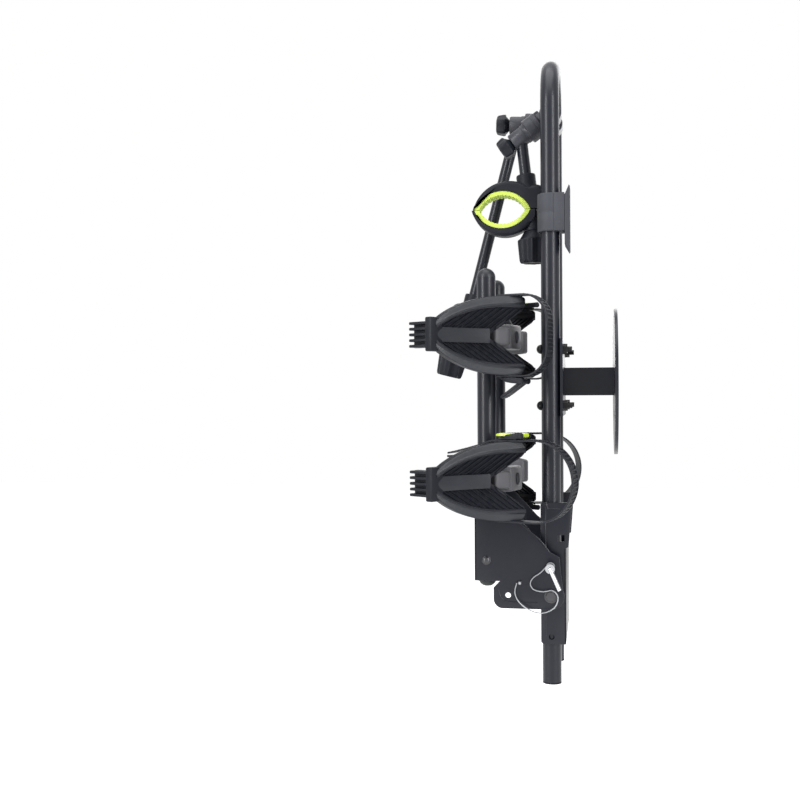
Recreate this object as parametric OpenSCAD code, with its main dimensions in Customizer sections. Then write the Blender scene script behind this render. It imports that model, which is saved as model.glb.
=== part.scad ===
// Folding two-bike rack that bolts to a vehicle's spare wheel, drawn folded up.
// The origin is the centre of the face that meets the spare wheel.
// +X points to the vehicle, +Y across it, +Z up.

/* [Tubes] */
// Outside diameter of the mast and platform tubes
tube_od = 28.6; // [26:0.1:30]
// Wall of the mast and platform tubes
tube_wall = 2; // [1.5:0.1:3]
// Outside diameter of the clamp arms
arm_od = 18; // [16:0.5:20]
// Wall of the clamp arms
arm_wall = 1.5; // [1.2:0.1:2.5]

/* [Wheel mount] */
// Diameter of the plate that meets the spare wheel
plate_d = 229; // [200:1:250]
// Thickness of that plate
plate_t = 5; // [4:0.5:8]
// Diameter of the circle of wheel stud holes
stud_pcd = 127; // [110:0.5:145]
// Number of wheel stud holes
stud_count = 5; // [4:1:6]
// Diameter of the wheel stud holes
stud_hole_d = 14.4; // [12:0.1:17]
// Outside size of the square extension tube
ext_size = 43.5; // [38:0.5:50]
// Wall of the square extension tube
ext_wall = 3; // [2:0.5:4]
// Thickness of the plate that joins the extension tube to the mast
cross_t = 4; // [3:0.5:6]
// Height of the upper mast bolts
bolt_up_z = 49; // [44:1:56]
// Height of the lower mast bolts
bolt_low_z = -37; // [-50:1:-34]
// Diameter of the mast bolts
bolt_d = 8; // [6:1:10]

/* [Mast] */
// Distance from the wheel face to the mast's plane
mast_reach = 100.7; // [95:0.1:120]
// Distance between the axes of the two legs
mast_gap = 146.4; // [140:0.2:152]
// Height of the top of the bend
mast_top = 506; // [490:1:530]
// Height of the open lower ends
mast_bottom = -456; // [-470:1:-440]
// Height of the rail that the clamp arms turn on
rail_z = 415; // [405:1:420]
// Diameter of the rail
rail_d = 22; // [18:0.5:25]

/* [Fold] */
// Height of the platform's pivot
pivot_z = -322; // [-330:1:-316]
// Diameter of the pivot bolt
pivot_d = 12; // [10:1:14]
// Thickness of the bracket plates
sheet_t = 3; // [2.5:0.5:4]
// Height of the lock pin above the pivot
lock_up = 46; // [42:1:50]
// Distance from the pivot to the second lock hole
lock_side = 64; // [58:1:70]
// Diameter of the lock pin
lock_d = 8; // [6:0.5:9]
// Travel of the lock pin into the mast
lock_travel = 16; // [12:1:18]

/* [Platform] */
// Distance between the axes of the two platform tubes
deck_gap = 178; // [174:1:186]
// Distance from the pivot's plane to the folded platform's plane
deck_offset = 96.6; // [94:0.1:104]
// Height of the tubes' outer ends above the pivot
deck_top = 495; // [485:1:510]
// Height of the tubes' lower ends above the pivot
deck_low = 24.5; // [24:0.5:30]
// Height of the outer wheel holders above the pivot
outer_z = 388.7; // [380:0.1:395]
// Height of the inner wheel holders above the pivot
inner_z = 175.1; // [174:0.1:180]

/* [Wheel holder] */
// Radius of the bicycle tyre that the scoop fits
tyre_r = 340; // [300:1:370]
// Half of the scoop's greatest width
scoop_w = 58; // [52:1:62]
// Depth of the scoop's trough
scoop_d = 23; // [18:1:26]
// Thickness of the scoop's shell
scoop_t = 4; // [3:0.5:5]
// Height of the scoop's wing tips above the tube's axis
wing_h = 60; // [54:1:64]
// Height of the bottom of the scoop's notch above the tube's axis
notch_h = 11; // [8:1:14]
// Length of the boat-shaped nose below its widest place
nose_len = 92; // [88:1:100]
// Length of the finned foot
foot_len = 36; // [30:1:40]
// Width of the finned foot
foot_w = 41; // [37:1:45]
// Number of fins on the foot
foot_fins = 5; // [4:1:6]
// Width of the grey clamp block
block_w = 37; // [32:1:40]
// Height of the clamp block's top above the tube's axis
block_h = 54; // [48:1:58]
// Width of the ladder strap
strap_w = 24; // [20:1:28]
// Thickness of the ladder strap
strap_t = 3; // [2.4:0.2:4]
// Height of the outer holders' strap loops above the tube's axis
strap_out_h = 104; // [98:1:125]
// Height of the inner holders' strap loops above the tube's axis
strap_in_h = 140; // [120:1:145]
// Outward lean of the strap loops
strap_lean = 20; // [10:1:28]

/* [Frame clamp] */
// Length of the eye between the jaws
eye_len = 88; // [80:1:92]
// Height of the eye between the jaws, pads left out
eye_h = 58; // [52:1:62]
// Width of the jaws
jaw_w = 35; // [32:1:40]
// Thickness of the jaw pads
pad_t = 6; // [4:0.5:8]
// Radius of the jaw's tightening knob
knob_r = 24; // [20:1:26]
// Length of the long arm
long_arm = 294; // [270:1:300]
// Length of the short arm
short_arm = 69; // [60:1:75]
// Lean of the long arm from the vertical
long_lean = 14.6; // [12.5:0.1:16]
// Lean of the short arm from the vertical
short_lean = -6.5; // [-12:0.1:-5]
// Distance of each arm from the rack's middle
arm_y = 34; // [31:1:36]

/* [Clearances] */
// Radial running clearance of pins, shafts and sliding bores
run = 0.06; // [0.03:0.01:0.1]
// Gap between parts that lie beside each other
gap = 0.4; // [0.3:0.1:0.8]

/* [Hidden] */
$fn = 64;
tube_r = tube_od / 2;
mast_x = -mast_reach;
leg_y = mast_gap / 2;
bend_z = mast_top - tube_r - leg_y;
deck_x = mast_x - deck_offset;
deck_y = deck_gap / 2;
cross_x = mast_x + tube_r;
holder_sides = [-1, 1];
far_side = 1;
near_side = -1;
eps = 0.01;

// Bracket planes, outward from the middle
mast_sheet_y = leg_y + tube_r + gap;
deck_sheet_y = deck_y + tube_r + gap;
axle_half = deck_sheet_y + sheet_t + gap;

// Tyre circle that the scoop's trough follows, in outward distance and height
notch_out = deck_y + 54;
trough_slope = 34.6;
tyre_out = notch_out + tyre_r * cos(trough_slope);
tyre_h = notch_h + tyre_r * sin(trough_slope);
collar_h = -66;
foot_angle = 56;
notch_half = 8;
wing_half = scoop_w - 9;
boss_half = 15;
block_in = deck_y - 25;
block_out = deck_y + 31;
nose_out = notch_out - 4;
strap_y = notch_out - 2;
strap_r = scoop_w + gap;
strap_root = 45;
buckle_d = 9;
lever_len = 42;
lever_t = 6;
lever_up = 16;
pin_r = 2;

// Frame clamp, measured from the middle of the eye
arc_r = (pow(eye_len / 2, 2) + pow(eye_h / 2, 2)) / eye_h;
arc_drop = arc_r - eye_h / 2;
rear_x = 68;
hinge_x = rear_x - 7;
hinge_z = -10;
hinge_r = 3;
hinge_boss = 8;
ear_w = 6;
screw_x = 47;
screw_r = 4;
seat_z = -33;
collar_x = 37;
collar_z = 46;
collar_r = 15;
collar_len = 14;
neck_r = 14;
neck_len = 12;
grip_h = 38;

// Arm heads
head_a = 56;
head_r = 19.5;
yoke_r = 14.5;
ring_r = 17;
head_w = 34;
long_tip = 68.5;
short_tip = 72.5;
head_knob_r = 18;
head_knob_h = 15;
head_neck = 6;
short_tilt = -35;
long_tilt = 3;
long_turn = 14;

// Helpers

module rod_x(r, from, to) {
    translate([from, 0, 0]) rotate([0, 90, 0]) cylinder(r = r, h = to - from);
}

module rod_y(r, from, to) {
    translate([0, from, 0]) rotate([-90, 0, 0]) cylinder(r = r, h = to - from);
}

module rod_z(r, from, to) {
    translate([0, 0, from]) cylinder(r = r, h = to - from);
}

module block(low, high) {
    translate(low) cube(high - low);
}

// A plate standing in the XZ plane, its outline given as X and Z
module sheet_xz(points, from, to) {
    translate([0, to, 0]) rotate([90, 0, 0]) linear_extrude(to - from) polygon(points);
}

// Two faces of a four-cornered patch, corners given turning left seen from outside
function patch(a, b, c, d) = [[a, c, b], [a, d, c]];

// Mast

module mast_hoop() {
    color("#26272b") difference() {
        union() {
            for (side = holder_sides) translate([mast_x, side * leg_y, 0]) difference() {
                rod_z(tube_r, mast_bottom, bend_z);
                rod_z(tube_r - tube_wall, mast_bottom - 1, bend_z + 1);
            }
            translate([mast_x, 0, bend_z]) rotate([90, 0, 90])
                rotate_extrude(angle = 180) translate([leg_y, 0]) difference() {
                    circle(tube_r);
                    circle(tube_r - tube_wall);
                }
        }
        for (side = holder_sides, z = [bolt_up_z, bolt_low_z])
            translate([0, side * leg_y, z])
                rod_x(bolt_d / 2 + gap / 2, mast_x - tube_r - 1, mast_x + tube_r + 1);
        translate([mast_x, 0, pivot_z])
            rod_y(pivot_d / 2 + run, -leg_y - tube_r - 1, leg_y + tube_r + 1);
        translate([mast_x, 0, pivot_z + lock_up])
            rod_y(lock_d / 2 + gap, -leg_y - tube_r - 1, -leg_y);
        translate([mast_x, 0, rail_z])
            rod_y(rail_d / 2, -leg_y, leg_y);
    }
}

cap_lip = 3;
cap_plug = 14;

module mast_end_caps() {
    color("#17181b") for (side = holder_sides) translate([mast_x, side * leg_y, mast_bottom]) {
        rod_z(tube_r, -cap_lip, 0);
        rod_z(tube_r - tube_wall - gap / 4, -eps, cap_plug);
    }
}

module arm_rail() {
    inner = leg_y - tube_r + tube_wall;
    color("#26272b") translate([mast_x, 0, rail_z]) difference() {
        rod_y(rail_d / 2 - gap / 4, -inner, inner);
        rod_y(rail_d / 2 - tube_wall, -inner - 1, inner + 1);
    }
}

// Wheel mount

module wheel_plate() {
    color("#222327") difference() {
        rod_x(plate_d / 2, -plate_t, 0);
        for (i = [0 : stud_count - 1])
            rotate([i * 360 / stud_count, 0, 0]) translate([0, 0, stud_pcd / 2])
                rod_x(stud_hole_d / 2, -plate_t - 1, 1);
    }
}

module extension_tube() {
    half = ext_size / 2;
    bore = half - ext_wall;
    color("#26272b") difference() {
        block([cross_x + cross_t, -half, -half], [-plate_t, half, half]);
        block([cross_x + cross_t - 1, -bore, -bore], [-plate_t + 1, bore, bore]);
    }
}

cross_margin = 16;
cross_half_y = leg_y + tube_r - 2;

module cross_plate() {
    color("#202125") difference() {
        block([cross_x, -cross_half_y, bolt_low_z - cross_margin],
              [cross_x + cross_t, cross_half_y, bolt_up_z + cross_margin]);
        for (side = holder_sides, z = [bolt_up_z, bolt_low_z])
            translate([0, side * leg_y, z])
                rod_x(bolt_d / 2 + gap / 2, cross_x - 1, cross_x + cross_t + 1);
    }
}

head_r_bolt = bolt_d * 0.9;
nut_t = 7;
bolt_tail = 14;

module mast_bolts() {
    color("#1c1d20") for (side = holder_sides, z = [bolt_up_z, bolt_low_z])
        translate([0, side * leg_y, z]) {
            rod_x(bolt_d / 2, mast_x - tube_r - 1, cross_x + cross_t + bolt_tail);
            translate([mast_x - tube_r, 0, 0]) rotate([0, -90, 0]) rotate_extrude()
                intersection() {
                    circle(head_r_bolt);
                    square(head_r_bolt);
                }
        }
}

module mast_nuts() {
    color("#1c1d20") for (side = holder_sides, z = [bolt_up_z, bolt_low_z])
        translate([cross_x + cross_t, side * leg_y, z]) difference() {
            rotate([0, 90, 0]) cylinder(r = bolt_d, h = nut_t, $fn = 6);
            rod_x(bolt_d / 2 + run, -1, nut_t + 1);
        }
}

// Fold bracket on the mast

mb_left = -tube_r - 1.5;
mb_wide = 31;
mb_narrow = 22;
mb_top = pivot_z + 139;
mb_step = pivot_z + 72;
mb_low = pivot_z - 75;
mb_slant = 5;
mb_window = [13, 10];

module mast_bracket() {
    outer = mast_sheet_y + sheet_t;
    color("#232428") translate([mast_x, 0, 0]) difference() {
        union() {
            for (side = holder_sides)
                sheet_xz([[mb_left, mb_top], [mb_wide, mb_top],
                          [mb_wide - mb_slant, mb_step], [mb_narrow, mb_step],
                          [mb_narrow, mb_low], [mb_left, mb_low]],
                         side > 0 ? mast_sheet_y : -outer,
                         side > 0 ? outer : -mast_sheet_y);
            block([mb_narrow - sheet_t, -outer, mb_low], [mb_narrow, outer, mb_step]);
        }
        rod_y_at(pivot_z, pivot_d / 2 + run, outer);
        rod_y_at(pivot_z + lock_up, lock_d / 2 + run, outer);
        rod_y_at(pivot_z - lock_side, lock_d / 2 + run, outer);
        block([mb_narrow - mb_window[0] + 1, -outer - 1, mb_step + 8],
              [mb_narrow - 2, outer + 1, mb_step + 8 + mb_window[1]]);
    }
}

module rod_y_at(z, r, reach) {
    translate([0, 0, z]) rod_y(r, -reach - 1, reach + 1);
}

module pivot_bolt() {
    head = 4;
    color("#8f9296") translate([mast_x, 0, pivot_z]) {
        rod_y(pivot_d / 2, -axle_half, axle_half);
        for (side = holder_sides)
            rod_y(pivot_d * 0.85, side > 0 ? axle_half - eps : -axle_half - head,
                  side > 0 ? axle_half + head : -axle_half + eps);
    }
}

module pivot_spacers() {
    low = mast_sheet_y + sheet_t;
    high = deck_sheet_y - gap;
    color("#1b1c1f") for (side = holder_sides)
        translate([mast_x, 0, pivot_z]) difference() {
            rod_y(pivot_d, side > 0 ? low : -high, side > 0 ? high : -low);
            rod_y(pivot_d / 2 + run, -high - 1, high + 1);
        }
}

// Stowage saddle on the near leg

saddle_low = 227;
saddle_high = 285;
saddle_wall = 5;
tail_low = 196;
tail_high = 296;
tail_t = 8;

module mast_saddle() {
    reach = tube_r + saddle_wall;
    color("#3a3b40") translate([mast_x, -leg_y, 0]) difference() {
        union() {
            rod_z(reach, saddle_low, saddle_high);
            block([0, -reach, saddle_low], [reach + 3, reach, saddle_high]);
        }
        rod_z(tube_r + gap / 4, saddle_low - 1, saddle_high + 1);
    }
}

module saddle_plate() {
    reach = tube_r + saddle_wall;
    color("#34353a") translate([mast_x, -leg_y, 0])
        block([reach + 3, -reach, tail_low], [reach + 3 + tail_t, reach, tail_high]);
}

// Platform

module platform_tubes() {
    color("#26272b") for (side = holder_sides) translate([deck_x, side * deck_y, 0]) difference() {
        rod_z(tube_r, pivot_z + deck_low, pivot_z + deck_top - tube_r);
        rod_z(tube_r - tube_wall, pivot_z + deck_low - 1, pivot_z + deck_top);
        translate([0, 0, pivot_z + web_bolt_z])
            rod_y(bolt_d / 2 + gap / 2, -tube_r - 1, tube_r + 1);
    }
}

module tube_domes() {
    z = pivot_z + deck_top - tube_r;
    color("#3c3d42") for (side = holder_sides) translate([deck_x, side * deck_y, z]) {
        intersection() {
            sphere(tube_r);
            rod_z(tube_r + 1, 0, tube_r);
        }
        rod_z(tube_r - tube_wall - gap / 4, -cap_plug, eps);
    }
}

module tube_plugs() {
    z = pivot_z + deck_low;
    color("#3d4340") for (side = holder_sides) translate([deck_x, side * deck_y, z]) {
        intersection() {
            sphere(tube_r);
            rod_z(tube_r + 1, -tube_r * 0.9, 0);
        }
        rod_z(tube_r - tube_wall - gap / 4, -eps, cap_plug);
    }
}

// Outline of the moving side plates, measured from the pivot
web_bolt_z = 52;
deck_back = -deck_offset - tube_r - gap;
back_x = deck_back - sheet_t;
plate_low = 21;
plate_top = 149;
lobe_r = 20;
lobe_left = -86;
lobe_low = -18;
lock_reach = 13;

function arc(cx, cz, r, from, to, n = 10) =
    [for (i = [0 : n]) let (a = from + (to - from) * i / n) [cx + r * cos(a), cz + r * sin(a)]];

function side_plate() = concat(
    [[back_x, plate_low], [back_x, plate_top], [back_x + 36, plate_top]],
    [[lock_reach - 14, lock_up + lock_reach + 6], [lock_reach, lock_up + lock_reach]],
    [[lock_reach + 2, lock_up - 12]],
    arc(0, 0, lobe_r, 25, -90),
    arc(lobe_left + 14, lobe_low + 12, 14, -90, -180, 6),
    [[lobe_left, plate_low - 8], [lobe_left + 10, plate_low]]);

module fold_bracket() {
    outer = deck_sheet_y + sheet_t;
    color("#2a2b30") translate([mast_x, 0, pivot_z]) difference() {
        union() {
            for (side = holder_sides)
                sheet_xz(side_plate(), side > 0 ? deck_sheet_y : -outer,
                         side > 0 ? outer : -deck_sheet_y);
            block([back_x, -outer, plate_low], [back_x + sheet_t, outer, plate_top]);
        }
        rod_y_at(0, pivot_d / 2 + run, outer);
        for (side = holder_sides) translate([-deck_offset, 0, web_bolt_z])
            rod_y(bolt_d / 2 + run, -outer - 1, outer + 1);
        translate([0, 0, lock_up]) rod_y(lock_d / 2 + run, -outer - 1, outer + 1);
        translate([-lock_side, 0, 0]) rod_y(lock_d / 2 + run, -outer - 1, outer + 1);
        block([back_x - 1, -web_cut, plate_low + 30], [back_x + sheet_t + 1, web_cut, plate_top - 30]);
    }
}

web_cut = 60;
rivet_r = 3;
rivet_x = -46;
rivet_z = 20;

module bracket_fasteners() {
    outer = deck_sheet_y + sheet_t;
    inner = deck_y - tube_r - 8;
    color("#b9bcc0") for (side = holder_sides) translate([mast_x, 0, pivot_z]) {
        translate([-deck_offset, 0, web_bolt_z]) {
            rod_y(bolt_d / 2, side > 0 ? inner : -outer - 2, side > 0 ? outer + 2 : -inner);
            rod_y(bolt_d * 0.85, side > 0 ? outer : -outer - 5,
                  side > 0 ? outer + 5 : -outer);
        }
        translate([rivet_x, 0, rivet_z])
            rod_y(rivet_r, side > 0 ? outer : -outer - 2, side > 0 ? outer + 2 : -outer);
    }
}

// Lock pin and its wire

pin_head_r = 7;
pin_grip_r = 3;
pin_tip = -(mast_sheet_y + sheet_t + gap);
pin_out = -(axle_half + lock_travel + 12);
grip_len = 34;
grip_lean = -24;

module lock_pin() {
    color("#d8dadd") translate([mast_x, 0, pivot_z + lock_up]) {
        rod_y(lock_d / 2, pin_out, pin_tip);
        rod_y(pin_head_r, pin_out - 4, pin_out + eps);
        translate([0, pin_out - 4 - pin_grip_r + 1, 0]) rotate([0, grip_lean, 0]) {
            rod_z(pin_grip_r, -grip_len, 0);
            sphere(pin_grip_r);
        }
    }
}

wire_r = 1;
wire_y = -(deck_sheet_y + sheet_t + 7.5);
wire_eye = lock_d / 2 + wire_r + gap;
wire_end = [rivet_x + 1, rivet_z - lock_up];
wire_route = [
    [-0.5, 0], [-10, -10], [-20, -17], [-25, -26], [-20, -35], [-6, -38], [8, -36],
    [16, -46], [10, -62], [-8, -70], [-26, -66], [-42, -54], wire_end + [-3, -14], wire_end
];

// One step of a smooth curve through the route's points
function spline(p, i, t) =
    let (a = p[max(i - 1, 0)], b = p[i], c = p[i + 1], d = p[min(i + 2, len(p) - 1)])
    0.5 * (2 * b + (c - a) * t + (2 * a - 5 * b + 4 * c - d) * t * t
           + (3 * b - a - 3 * c + d) * t * t * t);

wire_steps = 3;
function wire_path() = [
    for (i = [0 : len(wire_route) - 2], k = [0 : wire_steps - 1])
        spline(wire_route, i, k / wire_steps),
    wire_end];

module wire_tube(path, sides) {
    n = len(path);
    function dir(i) = let (v = path[min(i + 1, n - 1)] - path[max(i - 1, 0)]) v / norm(v);
    rings = [for (i = [0 : n - 1]) let (d = dir(i), s = [-d[1], d[0]])
        [for (j = [0 : sides - 1]) let (a = 360 * j / sides)
            [path[i][0] + wire_r * cos(a) * s[0], wire_r * sin(a),
             path[i][1] + wire_r * cos(a) * s[1]]]];
    points = [for (ring = rings) each ring];
    walls = [for (i = [0 : n - 2], j = [0 : sides - 1]) let (k = (j + 1) % sides)
        each patch(i * sides + j, (i + 1) * sides + j, (i + 1) * sides + k, i * sides + k)];
    first = [for (j = [1 : sides - 2]) [0, j + 1, j]];
    last = [for (j = [1 : sides - 2]) let (b = (n - 1) * sides) [b, b + j, b + j + 1]];
    polyhedron(points, concat(walls, first, last));
}

module pin_lanyard() {
    color("#a9adb3") translate([mast_x, wire_y, pivot_z + lock_up]) {
        difference() {
            rod_y(wire_eye + wire_r, -wire_r, wire_r);
            rod_y(wire_eye - wire_r, -wire_r - 1, wire_r + 1);
        }
        translate([-wire_eye, 0, 0]) wire_tube(wire_path(), 6);
    }
    color("#a9adb3") translate([mast_x + rivet_x, 0, pivot_z + rivet_z])
        rod_y(2, wire_y - wire_r - 0.5, -(deck_sheet_y + sheet_t + 2));
}

// Wheel holders, drawn about the tube's axis: +X up from the deck, -Y outward,
// Z across the tyre. side is -1 near the camera and 1 on the far side.

module place(side, z) {
    translate([deck_x, 0, pivot_z + z]) rotate([side > 0 ? 180 : 0, 0, 0]) children();
}

function trough(h) = tyre_out - sqrt(pow(tyre_r, 2) - pow(tyre_h - h, 2));
function half_width(h) = scoop_w * sqrt(1 - pow(max(0, 22 - h) / nose_len, 2));
function normal(h) = let (v = [tyre_h - h, tyre_out - trough(h)]) v / norm(v);

scoop_rows = 16;
scoop_cols = 14;
rim_w = 13;
spine_half = 9;

// A point of the scoop: h along the trough, across from rim to rim, off out of its face
function scoop_point(h, across, off) =
    let (n = normal(h), wide = half_width(h), edge = scoop_d * wide / scoop_w,
         rim = wide - rim_w * sqrt(wide / scoop_w), last = 1 - 2 / scoop_cols,
         w = abs(across) > last + eps ? sign(across) * wide : rim * across / last,
         rise = edge * pow(min(1, max(0, abs(w) - spine_half) / (rim - spine_half)), 1.25))
    [h + n[0] * (rise + off), -(trough(h) + n[1] * (rise + off)), w];

module scoop_shell() {
    rows = scoop_rows;
    cols = scoop_cols;
    span = wing_h - 8 - collar_h;
    grid = [for (face = [0, 1], i = [0 : rows], j = [0 : cols])
        scoop_point(collar_h + span * i / rows, 2 * j / cols - 1, face ? 0 : -scoop_t)];
    function id(f, i, j) = f * (rows + 1) * (cols + 1) + i * (cols + 1) + j;
    front = [for (i = [0 : rows - 1], j = [0 : cols - 1])
        each patch(id(1, i, j), id(1, i + 1, j), id(1, i + 1, j + 1), id(1, i, j + 1))];
    back = [for (i = [0 : rows - 1], j = [0 : cols - 1])
        each patch(id(0, i, j), id(0, i, j + 1), id(0, i + 1, j + 1), id(0, i + 1, j))];
    sides = [for (i = [0 : rows - 1], j = [0, cols])
        each j == 0 ? patch(id(0, i, 0), id(0, i + 1, 0), id(1, i + 1, 0), id(1, i, 0))
                    : patch(id(1, i, j), id(1, i + 1, j), id(0, i + 1, j), id(0, i, j))];
    ends = [for (j = [0 : cols - 1], i = [0, rows])
        each i == 0 ? patch(id(0, 0, j), id(1, 0, j), id(1, 0, j + 1), id(0, 0, j + 1))
                    : patch(id(1, i, j), id(0, i, j), id(0, i, j + 1), id(1, i, j + 1))];
    polyhedron(grid, concat(front, back, sides, ends));
}

foot_depth = 26;
foot_lip = 8;

module scoop_foot() {
    pitch = foot_w / foot_fins;
    translate([collar_h, -trough(collar_h), 0]) rotate([0, 0, 90 + foot_angle]) {
        block([-foot_lip, -foot_depth / 2 - 3, -foot_w * 0.68 + 3],
              [foot_lip / 2, foot_depth / 2 - 3, foot_w * 0.68 - 3]);
        difference() {
            block([0, -foot_depth / 2, -foot_w / 2], [foot_len, foot_depth / 2 - 4, foot_w / 2]);
            for (i = [1 : foot_fins - 1], edge = [-1, 1])
                translate([foot_lip, 0, -foot_w / 2 + i * pitch])
                    block([0, edge > 0 ? 2 : -foot_depth, -pitch / 4],
                          [foot_len, edge > 0 ? foot_depth : -7, pitch / 4]);
        }
    }
}

module scoop(side, z) {
    color("#1d1e21") place(side, z) difference() {
        union() {
            scoop_shell();
            scoop_foot();
            // Boss behind the trough that meets the clamp block
            translate([0, 0, -boss_half]) linear_extrude(2 * boss_half)
                polygon([[notch_h - 3, -block_out], [notch_h - 3, -trough(notch_h) + 1],
                         [-22, -trough(-22) + 2], [-22, -block_out]]);
        }
        // V notch between the wings
        translate([0, 1, 0]) rotate([90, 0, 0]) linear_extrude(notch_out + 80)
            polygon([[notch_h, -notch_half], [wing_h, -wing_half], [wing_h + 50, -wing_half],
                     [wing_h + 50, wing_half], [wing_h, wing_half], [notch_h, notch_half]]);
    }
}

badge_r = 9;
pod_slope = atan(14 / (block_out - block_in - 14));
badge_deep = 1.5;
block_low = -tube_r - 7;

module clamp_block(side, z) {
    half = block_w / 2;
    color("#85868c") place(side, z) difference() {
        union() {
            block([block_low, -block_out, -half], [tube_r + 8, -block_in, half]);
            // Pod that stands up through the scoop's notch
            translate([0, 0, -half]) linear_extrude(block_w)
                polygon([[tube_r, -block_in], [block_h - 7, -block_in - 4],
                         [block_h, -block_in - 14], [block_h - 14, -block_out],
                         [tube_r, -block_out]]);
            translate([0, 0, -boss_half + 1]) linear_extrude(2 * boss_half - 2)
                polygon([[notch_h + 4, -block_out + 8], [block_h - 14, -block_out + 8],
                         [block_h - 18, -block_out - 6], [notch_h + 8, -nose_out + 3],
                         [notch_h + 4, -nose_out + 5]]);
        }
        translate([0, -deck_y, 0]) rod_z(tube_r + run, -half - 1, half + 1);
        // Bare oval recess
        translate([block_h - 6.5, -deck_y - 12, 0]) rotate([0, 0, -pod_slope]) rotate([0, 90, 0])
            oval_recess();
    }
}

module oval_recess() {
    for (edge = [-1, 1]) translate([edge * 4, 0, -badge_deep])
        cylinder(r = badge_r - 4, h = badge_deep + 3);
    translate([-4, -badge_r + 4, -badge_deep]) cube([8, 2 * (badge_r - 4), badge_deep + 3]);
}

// A strap's own frame: +X along it from its root, Y across it, Z out of its side
module on_strap(side, z, turn) {
    place(side, z) mirror([0, 0, turn > 0 ? 0 : 1])
        translate([strap_root, -strap_y, 0]) rotate([0, 0, -strap_lean]) children();
}

strap_foot = -22;
tail_tip = [-104, 38];

strap_rise = 18;

// The area under a strap: straight sides, then a bend at each corner of its top
module loop_area(low, half, top, bend) {
    for (edge = [-1, 1]) translate([top - bend, edge * (half - bend)]) circle(bend);
    translate([low, -half]) square([top - bend - low, 2 * half]);
    if (half > bend + eps) translate([top - bend, bend - half]) square([bend, 2 * (half - bend)]);
}

// A ladder strap that loops over the tyre from wing to wing
module ladder_strap(side, z, top_h, turn, tail) {
    outer = strap_r + strap_t;
    top = (top_h - strap_root - strap_w / 2 * sin(strap_lean)) / cos(strap_lean);
    bend = min(outer, top - strap_rise);
    color("#1a1b1e") on_strap(side, z, turn) translate([0, strap_w / 2, 0])
        rotate([90, 0, 0]) linear_extrude(strap_w) {
            difference() {
                loop_area(strap_foot, outer, top, bend);
                loop_area(strap_foot - 1, strap_r, top - strap_t, bend - strap_t);
                translate([strap_foot - outer, -outer - 1]) square([outer, 2 * outer + 2]);
            }
            if (tail) polygon([
                [strap_foot + 1, strap_r], [strap_foot - 12, strap_r - 1], tail_tip,
                tail_tip + [0, strap_t], [strap_foot - 12, strap_r - 1 + strap_t],
                [strap_foot + 1, strap_r + strap_t]]);
        }
}

buckle_low = -16;
buckle_in = strap_r + strap_t + gap;
pin_w = buckle_in + buckle_d - 4;

module ratchet_buckle(side, z, turn) {
    wide = strap_w / 2 + 3;
    color("#202124") on_strap(side, z, turn) {
        block([buckle_low, -wide, buckle_in - gap], [lever_up - 6, wide, buckle_in + 2]);
        for (edge = [-1, 1]) translate([0, edge * (wide - 1.5), 0])
            block([buckle_low + 6, -1.5, buckle_in + 1], [lever_up + 5, 1.5, pin_w + 4]);
        translate([lever_up, 0, pin_w]) rod_y(pin_r, -wide, wide);
    }
}

module ratchet_lever(side, z, turn, open) {
    wide = strap_w / 2 - gap;
    color("#b6d62a") on_strap(side, z, turn)
        translate([lever_up, 0, pin_w]) rotate([0, open, 0]) difference() {
            union() {
                rod_y(pin_r + 1.5, -wide, wide);
                block([-lever_len, -wide, -1], [0, wide, lever_t - 2.5]);
            }
            rod_y(pin_r + run, -wide - 1, wide + 1);
        }
}

// Clamp arms. Each head is drawn about the rail with its barrel along -X

module arm_at(tilt, y) {
    translate([mast_x, y, rail_z]) rotate([0, tilt, 0]) children();
}

// The arm's own frame: origin where it crosses the barrel, -Z along the arm
module along_arm(tilt, lean, y) {
    translate([mast_x - head_a * cos(tilt), y, rail_z + head_a * sin(tilt)])
        rotate([0, lean, 0]) children();
}

arm_over = 4;

module arm_head(tilt, lean, y, tip) {
    color("#77787e") difference() {
        arm_at(tilt, y) difference() {
            union() {
                rod_y(ring_r, -head_w / 2, head_w / 2);
                rod_x(head_r - 4, -head_a + 6, -ring_r + 6);
                rod_x(head_r, -head_a + arm_od / 2 + 3, -ring_r - 4);
                rod_x(yoke_r, -tip, -head_a + arm_od);
            }
            rod_y(rail_d / 2 - gap / 4 + run, -head_w, head_w);
        }
        along_arm(tilt, lean, y) rod_z(arm_od / 2 + gap / 4, -head_r - 9, arm_over);
    }
}

module arm_tube(tilt, lean, y, length) {
    color("#2a2b30") along_arm(tilt, lean, y) difference() {
        rod_z(arm_od / 2, -length, arm_over - gap);
        rod_z(arm_od / 2 - arm_wall, -length - 1, arm_over - gap + 1);
    }
}

// A fluted hand knob standing on its base, with its neck below
module knob(r, h, stem_r, stem, lobes) {
    difference() {
        rotate_extrude() polygon([[0, 0], [stem_r, 0], [r * 0.86, stem], [r, stem],
                                  [r * 0.86, stem + h], [0, stem + h]]);
        for (i = [0 : lobes - 1]) rotate([0, 0, (i + 0.5) * 360 / lobes])
            translate([r * 1.25, 0, stem - 2]) cylinder(r = r * 0.42, h = h + 4);
    }
}

module arm_knob(tilt, y, tip) {
    color("#1c1d20") arm_at(tilt, y) translate([-tip - gap, 0, 0]) rotate([0, -90, 0])
        knob(head_knob_r, head_knob_h, head_knob_r / 2, head_neck, 5);
}

// Everything of a frame clamp, drawn about the middle of its eye.
// flip is 1 with the eye away from the vehicle, -1 towards it.
module clamp_at(tilt, lean, y, length, turn, flip) {
    along_arm(tilt, lean, y) translate([0, 0, -length]) rotate([0, turn - lean, 0])
        rotate([0, 0, flip > 0 ? 0 : 180]) translate([-collar_x, 0, -collar_z]) children();
}

module jaw_slab(width) {
    translate([0, width / 2, 0]) rotate([90, 0, 0]) linear_extrude(width) children();
}

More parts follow.
